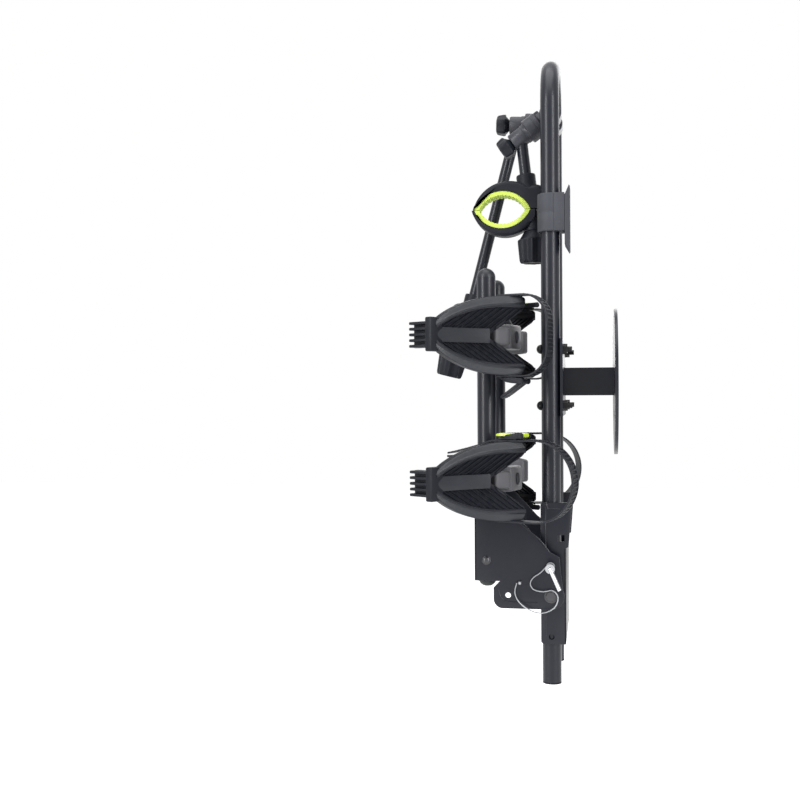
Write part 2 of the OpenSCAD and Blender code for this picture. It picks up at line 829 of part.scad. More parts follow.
module eye_circle(dir, r) {
    translate([0, -dir * arc_drop]) circle(r);
}

module clamp_body(tilt, lean, y, length, turn, flip) {
    color("#1f2023") difference() {
        clamp_at(tilt, lean, y, length, turn, flip) {
            jaw_slab(jaw_w) difference() {
                union() {
                    translate([10, -12]) circle(57);
                    translate([rear_x - 16, 22]) circle(16);
                    translate([rear_x - 24, 0]) square([24, 22]);
                }
                eye_circle(1, arc_r);
                translate([-80, -100 + gap]) square([200, 100]);
            }
            for (edge = [-1, 1]) translate([0, edge * (jaw_w - ear_w) / 2, 0]) jaw_slab(ear_w)
                difference() {
                    union() {
                        translate([hinge_x, hinge_z]) circle(hinge_boss - 1);
                        translate([hinge_x - hinge_boss + 1, hinge_z])
                            square([2 * hinge_boss - 2, gap - hinge_z + 1]);
                    }
                    translate([hinge_x, hinge_z]) circle(hinge_r);
                }
            translate([hinge_x, 0, hinge_z]) rod_y(hinge_r, -jaw_w / 2, jaw_w / 2);
            translate([collar_x, 0, collar_z]) rotate([0, flip * (lean - turn), 0])
                rod_z(collar_r, -collar_len - 4, 10);
        }
        along_arm(tilt, lean, y) rod_z(arm_od / 2 + run, -length, 0);
    }
}

teeth = 11;

module pad_2d(dir) {
    inner = arc_r - pad_t;
    difference() {
        eye_circle(dir, arc_r - gap / 4);
        eye_circle(dir, inner);
        for (i = [0 : teeth - 1]) let (a = 90 * dir + (i - (teeth - 1) / 2) * 8.5)
            translate([inner * cos(a), inner * sin(a) - dir * arc_drop]) circle(1.5, $fn = 16);
        translate([-100, dir > 0 ? -200 + gap : -gap]) square([200, 200]);
    }
}

module clamp_pad(tilt, lean, y, length, turn, flip, dir) {
    color("#c3e033") clamp_at(tilt, lean, y, length, turn, flip)
        jaw_slab(jaw_w - 4) pad_2d(dir);
}

module clamp_jaw(tilt, lean, y, length, turn, flip) {
    mid = jaw_w - 2 * ear_w - 2 * gap;
    color("#1f2023") clamp_at(tilt, lean, y, length, turn, flip) difference() {
        union() {
            jaw_slab(jaw_w) difference() {
                translate([4, 12]) circle(53);
                eye_circle(-1, arc_r);
                translate([-80, -gap]) square([200, 200]);
                translate([hinge_x - hinge_boss - 1, -100]) square([100, 200]);
            }
            jaw_slab(mid) difference() {
                union() {
                    translate([hinge_x, hinge_z]) circle(hinge_boss);
                    translate([hinge_x - hinge_boss - 6, hinge_z - hinge_boss])
                        square([hinge_boss + 6, 2 * hinge_boss]);
                }
                eye_circle(-1, arc_r);
            }
            translate([screw_x, 0, 0]) rod_z(neck_r, seat_z, -16);
        }
        translate([hinge_x, 0, hinge_z]) rod_y(hinge_r + run, -jaw_w, jaw_w);
        translate([screw_x, 0, 0]) rod_z(screw_r + run, seat_z - 1, 1);
    }
}

module clamp_knob(tilt, lean, y, length, turn, flip) {
    color("#26272b") clamp_at(tilt, lean, y, length, turn, flip) translate([screw_x, 0, 0]) {
        rod_z(screw_r, seat_z - gap - 2, -8);
        translate([0, 0, seat_z - gap]) rotate([180, 0, 0])
            knob(knob_r, grip_h, neck_r, neck_len, 8);
    }
}

mast_hoop();
mast_end_caps();
arm_rail();
wheel_plate();
extension_tube();
cross_plate();
mast_bolts();
mast_nuts();
mast_bracket();
pivot_bolt();
pivot_spacers();
mast_saddle();
saddle_plate();
platform_tubes();
tube_domes();
tube_plugs();
fold_bracket();
bracket_fasteners();
pin_lanyard();
lock_pin();
scoop(near_side, outer_z);  // near_outer_scoop
clamp_block(near_side, outer_z);  // near_outer_block
ladder_strap(near_side, outer_z, strap_out_h, -1, false);  // near_outer_strap
ratchet_buckle(near_side, outer_z, -1);  // near_outer_buckle
ratchet_lever(near_side, outer_z, -1, 35);  // near_outer_lever
scoop(near_side, inner_z);  // near_inner_scoop
clamp_block(near_side, inner_z);  // near_inner_block
ladder_strap(near_side, inner_z, strap_in_h, 1, true);  // near_inner_strap
ratchet_buckle(near_side, inner_z, 1);  // near_inner_buckle
ratchet_lever(near_side, inner_z, 1, 0);  // near_inner_lever
scoop(far_side, outer_z);  // far_outer_scoop
clamp_block(far_side, outer_z);  // far_outer_block
ladder_strap(far_side, outer_z, strap_out_h, -1, false);  // far_outer_strap
ratchet_buckle(far_side, outer_z, -1);  // far_outer_buckle
ratchet_lever(far_side, outer_z, -1, 0);  // far_outer_lever
scoop(far_side, inner_z);  // far_inner_scoop
clamp_block(far_side, inner_z);  // far_inner_block
ladder_strap(far_side, inner_z, strap_in_h, 1, false);  // far_inner_strap
ratchet_buckle(far_side, inner_z, 1);  // far_inner_buckle
ratchet_lever(far_side, inner_z, 1, 0);  // far_inner_lever
arm_head(long_tilt, long_lean, arm_y, long_tip);  // long_arm_head
arm_tube(long_tilt, long_lean, arm_y, long_arm);  // long_arm_tube
arm_knob(long_tilt, arm_y, long_tip);  // long_arm_knob
clamp_body(long_tilt, long_lean, arm_y, long_arm, long_turn, -1);  // long_clamp_body
clamp_pad(long_tilt, long_lean, arm_y, long_arm, long_turn, -1, 1);  // long_clamp_pad
clamp_jaw(long_tilt, long_lean, arm_y, long_arm, long_turn, -1);  // long_clamp_jaw
clamp_pad(long_tilt, long_lean, arm_y, long_arm, long_turn, -1, -1);  // long_jaw_pad
clamp_knob(long_tilt, long_lean, arm_y, long_arm, long_turn, -1);  // long_clamp_knob
arm_head(short_tilt, short_lean, -arm_y, short_tip);  // short_arm_head
arm_tube(short_tilt, short_lean, -arm_y, short_arm);  // short_arm_tube
arm_knob(short_tilt, -arm_y, short_tip);  // short_arm_knob
clamp_body(short_tilt, short_lean, -arm_y, short_arm, 0, 1);  // short_clamp_body
clamp_pad(short_tilt, short_lean, -arm_y, short_arm, 0, 1, 1);  // short_clamp_pad
clamp_jaw(short_tilt, short_lean, -arm_y, short_arm, 0, 1);  // short_clamp_jaw
clamp_pad(short_tilt, short_lean, -arm_y, short_arm, 0, 1, -1);  // short_jaw_pad
clamp_knob(short_tilt, short_lean, -arm_y, short_arm, 0, 1);  // short_clamp_knob
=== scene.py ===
"""Looks of a folding bicycle rack for a vehicle's spare wheel.

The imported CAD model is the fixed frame. Each class below dresses one
sub-assembly: it builds detailed meshes over the CAD solids, gives every
surface a procedural finish and hangs each piece on its moving body.
Lengths in the classes are millimetres, in the frame of the CAD model.
"""

import logging
import math
from dataclasses import dataclass, field
from enum import Enum
from typing import Callable, Iterable, Sequence

import bmesh
import bpy
from mathutils import Matrix, Vector


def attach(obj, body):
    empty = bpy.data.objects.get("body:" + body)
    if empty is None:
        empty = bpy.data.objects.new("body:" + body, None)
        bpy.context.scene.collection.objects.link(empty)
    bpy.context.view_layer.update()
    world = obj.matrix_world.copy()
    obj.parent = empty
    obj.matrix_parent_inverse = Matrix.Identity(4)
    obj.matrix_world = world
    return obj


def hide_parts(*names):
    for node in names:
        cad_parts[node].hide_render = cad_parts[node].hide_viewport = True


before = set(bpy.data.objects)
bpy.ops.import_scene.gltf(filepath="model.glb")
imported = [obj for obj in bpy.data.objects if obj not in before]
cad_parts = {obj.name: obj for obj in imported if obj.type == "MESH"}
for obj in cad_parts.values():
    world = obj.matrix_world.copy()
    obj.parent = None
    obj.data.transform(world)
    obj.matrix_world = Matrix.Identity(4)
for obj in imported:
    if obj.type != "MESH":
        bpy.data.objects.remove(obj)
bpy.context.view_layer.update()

LOG = logging.getLogger("rack")
MM = 0.001
SPECK = (0.3, 0.3, 0.31, 1.0)

Point2 = tuple[float, float]
Colour = tuple[float, float, float]
Ring = list[tuple[float, float, float]]
Mesh = bmesh.types.BMesh
Edge = bmesh.types.BMEdge
Verts = list[bmesh.types.BMVert]


class Side(Enum):
    """Side of the rack: the near one faces the camera."""

    NEAR = -1
    FAR = 1


class Slot(Enum):
    """Material slots of the record."""

    TUBE = "tube_paint"
    PLASTIC = "black_plastic"
    GREY = "grey_plastic"
    BLACK_STEEL = "black_steel"
    PLATED = "plated_steel"
    CHROME = "chrome"
    LIME = "lime_plastic"
    PAD = "lime_rubber"
    STRAP = "strap"


# ---------------------------------------------------------------- finishes


def feed(node: bpy.types.Node, inputs: dict[str | int, object]) -> None:
    """Sets a node's inputs: a socket is linked, and any other value is set.

    Args:
        node: Node to feed.
        inputs: Socket or value of each input, by its name or number.
    """
    for name, value in inputs.items():
        socket = node.inputs[name]
        if isinstance(value, bpy.types.NodeSocket):
            node.id_data.links.new(value, socket)
        else:
            socket.default_value = value


def add_node(tree: bpy.types.NodeTree, kind: str, **inputs: object) -> bpy.types.Node:
    """Adds a shader node and feeds its inputs; a Mix node mixes colours.

    Args:
        tree: Node tree that gets the node.
        kind: Its type, without the word ShaderNode.
        **inputs: Socket or value of each input, by its name.

    Returns:
        The node.
    """
    node = tree.nodes.new("ShaderNode" + kind)
    if kind == "Mix":
        node.data_type = "RGBA"
    feed(node, inputs)
    return node


@dataclass(frozen=True)
class Finish:
    """One procedural surface finish.

    Attributes:
        name: Material name.
        colour: Linear base colour.
        roughness: Mean roughness.
        metallic: 1 for bare metal.
        mottle: Share by which the colour varies over the surface.
        grain: Scale of the fine bump, in waves per metre.
        depth: Strength of the fine bump.
        streak: Stretch of the grain along Z, above 1 for drawn metal.
        coat: Weight of the clear coat.
        rough_span: Reach of the roughness over the surface.
        dust: Share of pale specks.
        specular: Strength of the mirror reflection.
    """

    name: str
    colour: Colour
    roughness: float
    metallic: float = 0.0
    mottle: float = 0.25
    grain: float = 900.0
    depth: float = 0.15
    streak: float = 1.0
    coat: float = 0.0
    rough_span: float = 0.12
    dust: float = 0.02
    specular: float = 0.5

    def material(self) -> bpy.types.Material:
        """Returns the finish's material, made once.

        Returns:
            The material, with its nodes.
        """
        found = bpy.data.materials.get(self.name)
        if found is not None:
            return found
        mat = bpy.data.materials.new(self.name)
        mat.use_nodes = True
        tree = mat.node_tree
        shader = tree.nodes["Principled BSDF"]
        coords = tree.nodes.new("ShaderNodeTexCoord").outputs["Object"]
        place = add_node(tree, "Mapping", Scale=(1, 1, 1 / self.streak), Vector=coords).outputs[0]

        def noise(scale: float, detail: float) -> bpy.types.NodeSocket:
            """Returns the value of a noise of that scale."""
            return add_node(tree, "TexNoise", Vector=place, Scale=scale, Detail=detail).outputs["Fac"]

        def spread(value: bpy.types.NodeSocket, low: float, high: float) -> bpy.types.NodeSocket:
            """Returns value brought from the noise's usual reach to low and high."""
            reach = {"From Min": 0.3, "From Max": 0.7, "To Min": low, "To Max": high}
            return add_node(tree, "MapRange", Value=value, **reach).outputs["Result"]

        dark, light = (
            tuple(min(1.0, c * (1 + way * self.mottle)) for c in self.colour) + (1.0,) for way in (-1, 1))
        cloud = spread(noise(14, 4), 0, 1)
        mix = add_node(tree, "Mix", A=dark, B=light, Factor=cloud).outputs["Result"]
        specks = spread(noise(60, 6), -self.dust, self.dust)
        colour = add_node(tree, "Mix", A=mix, B=SPECK, Factor=specks).outputs["Result"]
        span = self.rough_span / 2
        rough = spread(noise(40, 5), self.roughness - span, self.roughness + span)
        bump = add_node(tree, "Bump", Strength=self.depth, Distance=0.0004, Height=noise(self.grain, 3))
        feed(shader, {
            "Metallic": self.metallic, "Coat Weight": self.coat, "Specular IOR Level": self.specular,
            "Base Color": colour, "Roughness": rough, "Normal": bump.outputs["Normal"]})
        return mat


POWDER = Finish("black_powder_coat", (0.005, 0.006, 0.011), 0.33, mottle=0.1, grain=700, depth=0.02,
                rough_span=0.04, dust=0.003, specular=0.32)
PLASTIC = Finish("black_moulded_plastic", (0.007, 0.008, 0.012), 0.48, mottle=0.15, grain=1300, depth=0.3,
                 dust=0.005, specular=0.17)
RIM_PLASTIC = Finish("satin_moulded_plastic", (0.014, 0.016, 0.021), 0.38, mottle=0.12, grain=1300, depth=0.3,
                     dust=0.008, specular=0.3)
SADDLE = Finish("rough_saddle_plastic", (0.04, 0.042, 0.05), 0.6, mottle=0.2, grain=800, depth=0.6,
                dust=0.008, specular=0.2)
PLUG = Finish("green_grey_plug", (0.02, 0.025, 0.022), 0.5, mottle=0.15, grain=1100, depth=0.3, specular=0.2)
GREY = Finish("grey_moulded_plastic", (0.085, 0.085, 0.093), 0.42, mottle=0.08, grain=1200, depth=0.25,
              dust=0.01, specular=0.3)
HEAD_GREY = Finish("dark_grey_casting", (0.03, 0.031, 0.038), 0.38, mottle=0.12, grain=1000, depth=0.25,
                   dust=0.006, specular=0.25)
STRAP_FINISH = Finish("soft_black_strap", (0.007, 0.008, 0.012), 0.5, grain=900, depth=0.2, dust=0.005,
                      specular=0.2)
LIME = Finish("lime_plastic", (0.42, 0.54, 0.05), 0.35, mottle=0.06, grain=1100, depth=0.12, dust=0.0)
LIME_PAD = Finish("lime_rubber_pad", (0.43, 0.54, 0.09), 0.6, mottle=0.06, grain=900, depth=0.04, dust=0.0,
                  specular=0.25)
ZINC = Finish("zinc_plated_steel", (0.4, 0.41, 0.43), 0.34, metallic=1.0, mottle=0.15, grain=1500, depth=0.1)
DARK_ZINC = Finish("dark_plated_steel", (0.07, 0.07, 0.075), 0.34, metallic=1.0, mottle=0.2, grain=1500,
                   depth=0.1, dust=0.01)
CHROME = Finish("bright_pin_steel", (0.5, 0.51, 0.53), 0.24, metallic=1.0, mottle=0.1, grain=1500, depth=0.05)
OXIDE = Finish("black_oxide_steel", (0.012, 0.012, 0.013), 0.38, metallic=0.6, grain=1200, depth=0.15,
               dust=0.006, specular=0.3)


# ------------------------------------------------------------- mesh helpers


def hand_over(
    bm: Mesh, name: str, body: str, slot: Slot, finish: Finish,
    node: str = "", space: Matrix = Matrix(), smooth_angle: float = 35.0,
) -> None:
    """Makes a finished piece from a bmesh in millimetres.

    Args:
        bm: The mesh, which is freed.
        name: Piece name.
        body: CAD body that carries the piece.
        slot: Record slot of its finish; not used.
        finish: Its material.
        node: CAD node that it stands for, if any.
        space: Matrix from the mesh's own directions to the rack's frame.
        smooth_angle: Edges flatter than this are shaded smooth, in degrees.
    """
    turn(bm, bm.verts, space)
    bmesh.ops.remove_doubles(bm, verts=bm.verts, dist=0.002)
    bmesh.ops.recalc_face_normals(bm, faces=bm.faces)
    bmesh.ops.scale(bm, vec=(MM, MM, MM), verts=bm.verts)
    limit = math.radians(smooth_angle)
    for face in bm.faces:
        face.smooth = True
    for edge in bm.edges:
        edge.smooth = len(edge.link_faces) == 2 and edge.calc_face_angle(0.0) < limit
    obj = to_scene(bm, name)
    obj.data.materials.append(finish.material())
    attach(obj, body)
    if node:
        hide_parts(node)
    LOG.info("%s: %d faces", name, len(obj.data.polygons))


def to_scene(bm: Mesh, name: str) -> bpy.types.Object:
    """Makes a new object of the scene.

    Args:
        bm: Mesh of the object, which is freed.
        name: Name of the object and its mesh.

    Returns:
        The object.
    """
    mesh = bpy.data.meshes.new(name)
    bm.to_mesh(mesh)
    bm.free()
    obj = bpy.data.objects.new(name, mesh)
    bpy.context.scene.collection.objects.link(obj)
    return obj


def rounded(bm: Mesh, made: Verts, edges: Iterable[Edge], radius: float, segments: int) -> Verts:
    """Rounds edges of vertices just made.

    Args:
        bm: Mesh that holds the edges.
        made: The vertices just made.
        edges: Edges to round.
        radius: Radius of the rounding, 0 for none.
        segments: Steps in each rounded edge.

    Returns:
        What the vertices are now, with the new ones.
    """
    if radius <= 0:
        return made
    out = bmesh.ops.bevel(bm, geom=list(edges), offset=radius, segments=segments, profile=0.5,
                          affect="EDGES", material=-1)
    return list({v for f in out["faces"] for v in f.verts} | {v for v in made if v.is_valid})


def edges_of(verts: Verts) -> set[Edge]:
    """Returns the edges that meet at any of the vertices."""
    return {e for v in verts for e in v.link_edges}


def drawn(bm: Mesh, corners: Iterable[Sequence[float]], way: Sequence[float]) -> Verts:
    """Adds a body: a flat face drawn out along a way.

    Args:
        bm: Mesh that gets the body.
        corners: Corners of the face.
        way: Vector by which it is drawn out.

    Returns:
        The body's vertices, the face's own first.
    """
    base = [bm.verts.new(c) for c in corners]
    out = bmesh.ops.extrude_face_region(bm, geom=[bm.faces.new(base)])["geom"]
    top = [g for g in out if isinstance(g, bmesh.types.BMVert)]
    bmesh.ops.translate(bm, vec=way, verts=top)
    return base + top


def box(
    bm: Mesh, low: Sequence[float], high: Sequence[float], bevel: float = 0.0, segments: int = 2
) -> Verts:
    """Adds a block with rounded edges.

    Args:
        bm: Mesh that gets the block.
        low: Lowest corner.
        high: Highest corner.
        bevel: Radius of the edges.
        segments: Steps in each rounded edge.

    Returns:
        The block's vertices.
    """
    made = bmesh.ops.create_cube(bm, size=1.0)["verts"]
    bmesh.ops.scale(bm, vec=[b - a for a, b in zip(low, high)], verts=made)
    bmesh.ops.translate(bm, vec=[(a + b) / 2 for a, b in zip(low, high)], verts=made)
    return rounded(bm, made, edges_of(made), bevel, segments)


def prism(bm: Mesh, outline: Sequence[Point2], ends: Point2, bevel: float, segments: int = 2) -> None:
    """Adds an upright slab with rounded rims.

    Args:
        bm: Mesh that gets the slab.
        outline: Corners of the slab as X and Z.
        ends: The two ends in Y, in any order.
        bevel: Radius of the two rims.
        segments: Steps in each rounded rim.
    """
    low, high = sorted(ends)
    made = drawn(bm, [(x, low, z) for x, z in outline], (0, high - low, 0))
    rims = [e for e in edges_of(made) if abs(e.verts[0].co.y - e.verts[1].co.y) < 1e-6]
    rounded(bm, made, rims, bevel, segments)


def lathe(bm: Mesh, profile: Sequence[Point2], steps: int, place: Matrix) -> None:
    """Adds a turned body.

    Args:
        bm: Mesh that gets the body.
        profile: Radius and height from one end to the other, on the axis at both ends for a solid.
        steps: Faces around.
        place: Matrix that sets the body, spun about Z, in its place.
    """
    before = set(bm.verts)
    verts = [bm.verts.new((r, 0, z)) for r, z in profile]
    edges = [bm.edges.new(pair) for pair in zip(verts, verts[1:])]
    bmesh.ops.spin(
        bm, geom=verts + edges, cent=(0, 0, 0), axis=(0, 0, 1), angle=2 * math.pi,
        steps=steps, use_merge=True, use_duplicate=False,
    )
    bmesh.ops.remove_doubles(bm, verts=[v for v in bm.verts if v not in before], dist=0.001)
    turn(bm, [v for v in bm.verts if v not in before], place)


def rod(bm: Mesh, radius: float, low: float, high: float, steps: int, place: Matrix) -> None:
    """Adds a plain round rod between two heights, set in its place."""
    lathe(bm, [(0, low), (radius, low), (radius, high), (0, high)], steps, place)


def eye(
    bm: Mesh, bore: float, radius: float, half: float, rim: Point2, steps: int, place: Matrix
) -> None:
    """Adds a round eye with chamfered rims.

    Args:
        bm: Mesh that gets the eye.
        bore: Radius of its hole.
        radius: Radius of its outside.
        half: Half of its length.
        rim: The chamfer's two legs, inwards and along.
        steps: Faces around.
        place: Matrix that sets the eye, drawn about Z, in its place.
    """
    face, side = radius - rim[0], half - rim[1]
    lathe(bm, [(bore, -half), (face, -half), (radius, -side), (radius, side), (face, half), (bore, half),
               (bore, -half)], steps, place)


def turn(bm: Mesh, verts: Iterable[bmesh.types.BMVert], matrix: Matrix) -> None:
    """Moves vertices by a matrix."""
    bmesh.ops.transform(bm, matrix=matrix, verts=[v for v in verts if v.is_valid])


def to_axis(direction: Sequence[float], origin: Sequence[float] = (0, 0, 0)) -> Matrix:
    """Returns the matrix that takes +Z to a direction, from an origin."""
    rot = Vector((0, 0, 1)).rotation_difference(Vector(direction).normalized())
    return Matrix.Translation(Vector(origin)) @ rot.to_matrix().to_4x4()


def spun(degrees: float, axis: str) -> Matrix:
    """Returns the matrix of a turn about an axis."""
    return Matrix.Rotation(math.radians(degrees), 4, axis)


def sweep(bm: Mesh, path: Sequence[Vector], radius: float, sides: int) -> None:
    """Adds a round rod along a path, with closed ends.

    Args:
        bm: Mesh that gets the rod.
        path: Points along its axis.
        radius: Radius of the rod.
        sides: Faces around.
    """
    rings: list[Verts] = []
    normal = None
    for i, here in enumerate(path):
        ahead = path[min(i + 1, len(path) - 1)] - path[max(i - 1, 0)]
        ahead.normalize()
        if normal is None:
            normal = ahead.orthogonal().normalized()
        normal = (normal - ahead * normal.dot(ahead)).normalized()
        made = bmesh.ops.create_circle(bm, segments=sides, radius=radius)["verts"]
        basis = Matrix((normal, ahead.cross(normal), ahead)).transposed().to_4x4()
        turn(bm, made, Matrix.Translation(here) @ basis)
        rings.append(made)
    for a, b in zip(rings, rings[1:]):
        edges = [e for ring in (a, b) for e in edges_of(ring)
                 if e.verts[0] in ring and e.verts[1] in ring]
        bmesh.ops.bridge_loops(bm, edges=edges)
    for ring in (rings[0], rings[-1]):
        bm.faces.new(ring)


def smooth_path(points: Sequence[Sequence[float]], steps: int) -> list[Vector]:
    """Returns a smooth curve through points, with steps per span.

    Args:
        points: Points that the curve passes.
        steps: Points made for each span.

    Returns:
        Points of the curve, from its first end to its last.
    """
    pts = [Vector(p) for p in points]
    out: list[Vector] = []
    for i in range(len(pts) - 1):
        a, b, c, d = pts[max(i - 1, 0)], pts[i], pts[i + 1], pts[min(i + 2, len(pts) - 1)]
        for k in range(steps):
            t = k / steps
            out.append(0.5 * (2 * b + (c - a) * t + (2 * a - 5 * b + 4 * c - d) * t * t
                              + (3 * b - a - 3 * c + d) * t ** 3))
    out.append(pts[-1])
    return out


def carve(bm: Mesh, tool: Mesh) -> Mesh:
    """Cuts one mesh out of another; both are used up.

    Args:
        bm: Mesh to cut.
        tool: Mesh that is cut out of it.

    Returns:
        A new mesh of what is left.
    """
    pair: list[bpy.types.Object] = []
    for part, label in ((bm, "carved"), (tool, "carver")):
        bmesh.ops.recalc_face_normals(part, faces=part.faces)
        pair.append(to_scene(part, label))
    cut = pair[0].modifiers.new("cut", "BOOLEAN")
    cut.operation, cut.solver, cut.object = "DIFFERENCE", "EXACT", pair[1]
    graph = bpy.context.evaluated_depsgraph_get()
    done = bpy.data.meshes.new_from_object(pair[0].evaluated_get(graph))
    out = bmesh.new()
    out.from_mesh(done)
    for mesh in (done, pair[0].data, pair[1].data):
        bpy.data.meshes.remove(mesh)
    return out


def drills(spots: Iterable[tuple[float, float, float]], reach: float) -> Mesh:
    """Returns round cutters along Y: each spot is X, Z and radius.

    Args:
        spots: X, Z and radius of each hole.
        reach: Half of each cutter's length.

    Returns:
        A mesh of the cutters.
    """
    tool = bmesh.new()
    for x, z, radius in spots:
        rod(tool, radius, -reach, reach, 40, to_axis((0, 1, 0), (x, 0, z)))
    return tool


def dress(node: str, slot: Slot, finish: Finish) -> None:
    """Gives a carried-over CAD node its finish.

    Args:
        node: Name of the node.
        slot: Record slot of its finish; not used.
        finish: Its material.
    """
    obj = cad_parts[node]
    obj.data.materials.clear()
    obj.data.materials.append(finish.material())


def loft(bm: Mesh, rings: Sequence[Ring]) -> Verts:
    """Adds a closed skin over rings of points.

    Args:
        bm: Mesh that gets the skin.
        rings: Rings of as many points each, from one end to the other.

    Returns:
        The skin's vertices.
    """
    rows = [[bm.verts.new(p) for p in ring] for ring in rings]
    count = len(rings[0])
    for a, b in zip(rows, rows[1:]):
        for k in range(count):
            bm.faces.new((a[k], a[(k + 1) % count], b[(k + 1) % count], b[k]))
    bm.faces.new(rows[0])
    bm.faces.new(rows[-1])
    return [v for row in rows for v in row]


def crowned_slab(
    bm: Mesh, outline: Sequence[Point2], half: float, crown: Callable[[int], float], steps: int = 9
) -> None:
    """Adds an upright slab about Y with its own rounding of the rims at each corner.

    Args:
        bm: Mesh that gets the slab.
        outline: Corners as X and Z, turning left.
        half: Half of its width along Y.
        crown: Radius of the rounding at each corner.
        steps: Rings in each rounded rim.
    """
    count = len(outline)
    inward: list[Point2] = []
    for k in range(count):
        a, b = Vector(outline[k - 1]), Vector(outline[(k + 1) % count])
        d = (b - a).normalized()
        inward.append((-d.y, d.x))
    rings: list[Ring] = []
    for side in (-1, 1):
        for m in range(steps + 1):
            t = math.radians(90 * (m if side > 0 else steps - m) / steps)
            ring: Ring = []
            for k, (x, z) in enumerate(outline):
                r = crown(k)
                inset = r * (1 - math.cos(t))
                y = side * (half - r + r * math.sin(t))
                ring.append((x + inward[k][0] * inset, y, z + inward[k][1] * inset))
            rings.append(ring)
    loft(bm, rings)


def fluted(
    bm: Mesh, profile: Sequence[tuple[float, float, float]], lobes: int, steps: int,
    sharp: float, place: Matrix,
) -> None:
    """Adds a lobed knob.

    Args:
        bm: Mesh that gets the knob.
        profile: Radius, height and depth of the flutes from one end to the other.
        lobes: Lobes around.
        steps: Faces around.
        sharp: Power that shapes the flutes, below 1 for narrow lobes.
        place: Matrix that sets the knob, drawn about Z, in its place.
    """
    rings: list[Ring] = []
    for r, z, depth in profile:
        ring: Ring = []
        for k in range(steps):
            a = 2 * math.pi * k / steps
            here = r - depth * (0.5 - 0.5 * math.cos(lobes * a)) ** sharp
            ring.append((here * math.cos(a), here * math.sin(a), z))
        rings.append(ring)
    turn(bm, loft(bm, rings), place)


def arc_points(cx: float, cy: float, r: float, start: float, end: float, steps: int) -> list[Point2]:
    """Returns points of an arc, its angles in degrees.

    Args:
        cx: First coordinate of the centre.
        cy: Second coordinate of the centre.
        r: Radius.
        start: Angle of the first point.
        end: Angle of the last point.
        steps: Spans between the points.

    Returns:
        The points, with both ends.
    """
    return [
        (cx + r * math.cos(math.radians(start + (end - start) * k / steps)),
         cy + r * math.sin(math.radians(start + (end - start) * k / steps)))
        for k in range(steps + 1)
    ]


# ------------------------------------------------------------ sub-assemblies


@dataclass
class Layout:
    """Places that several sub-assemblies share."""

    mast_x: float = -100.7
    leg_y: float = 73.2
    tube_r: float = 14.3
    rail_z: float = 415.0
    pivot_z: float = -322.0
    deck_x: float = -197.3
    deck_y: float = 89.0
    mast_sheet_y: float = 87.9
    deck_sheet_y: float = 103.7
    sheet_t: float = 3.0
    pin_up: float = 46.0
    pin_down: float = -64.0

    @property
    def deck_outer(self) -> float:
        """Outer face of the folding bracket's side plates."""
        return self.deck_sheet_y + self.sheet_t

    def pin_holes(self, second: Point2) -> list[tuple[float, float, float]]:
        """Returns X, Z and radius of the pivot's hole and the lock pin's two, the second at that place."""
        spots = ((0, 0, 6.1), (0, self.pin_up, 4.3), (*second, 4.3))
        return [(self.mast_x + a, self.pivot_z + b, r) for a, b, r in spots]


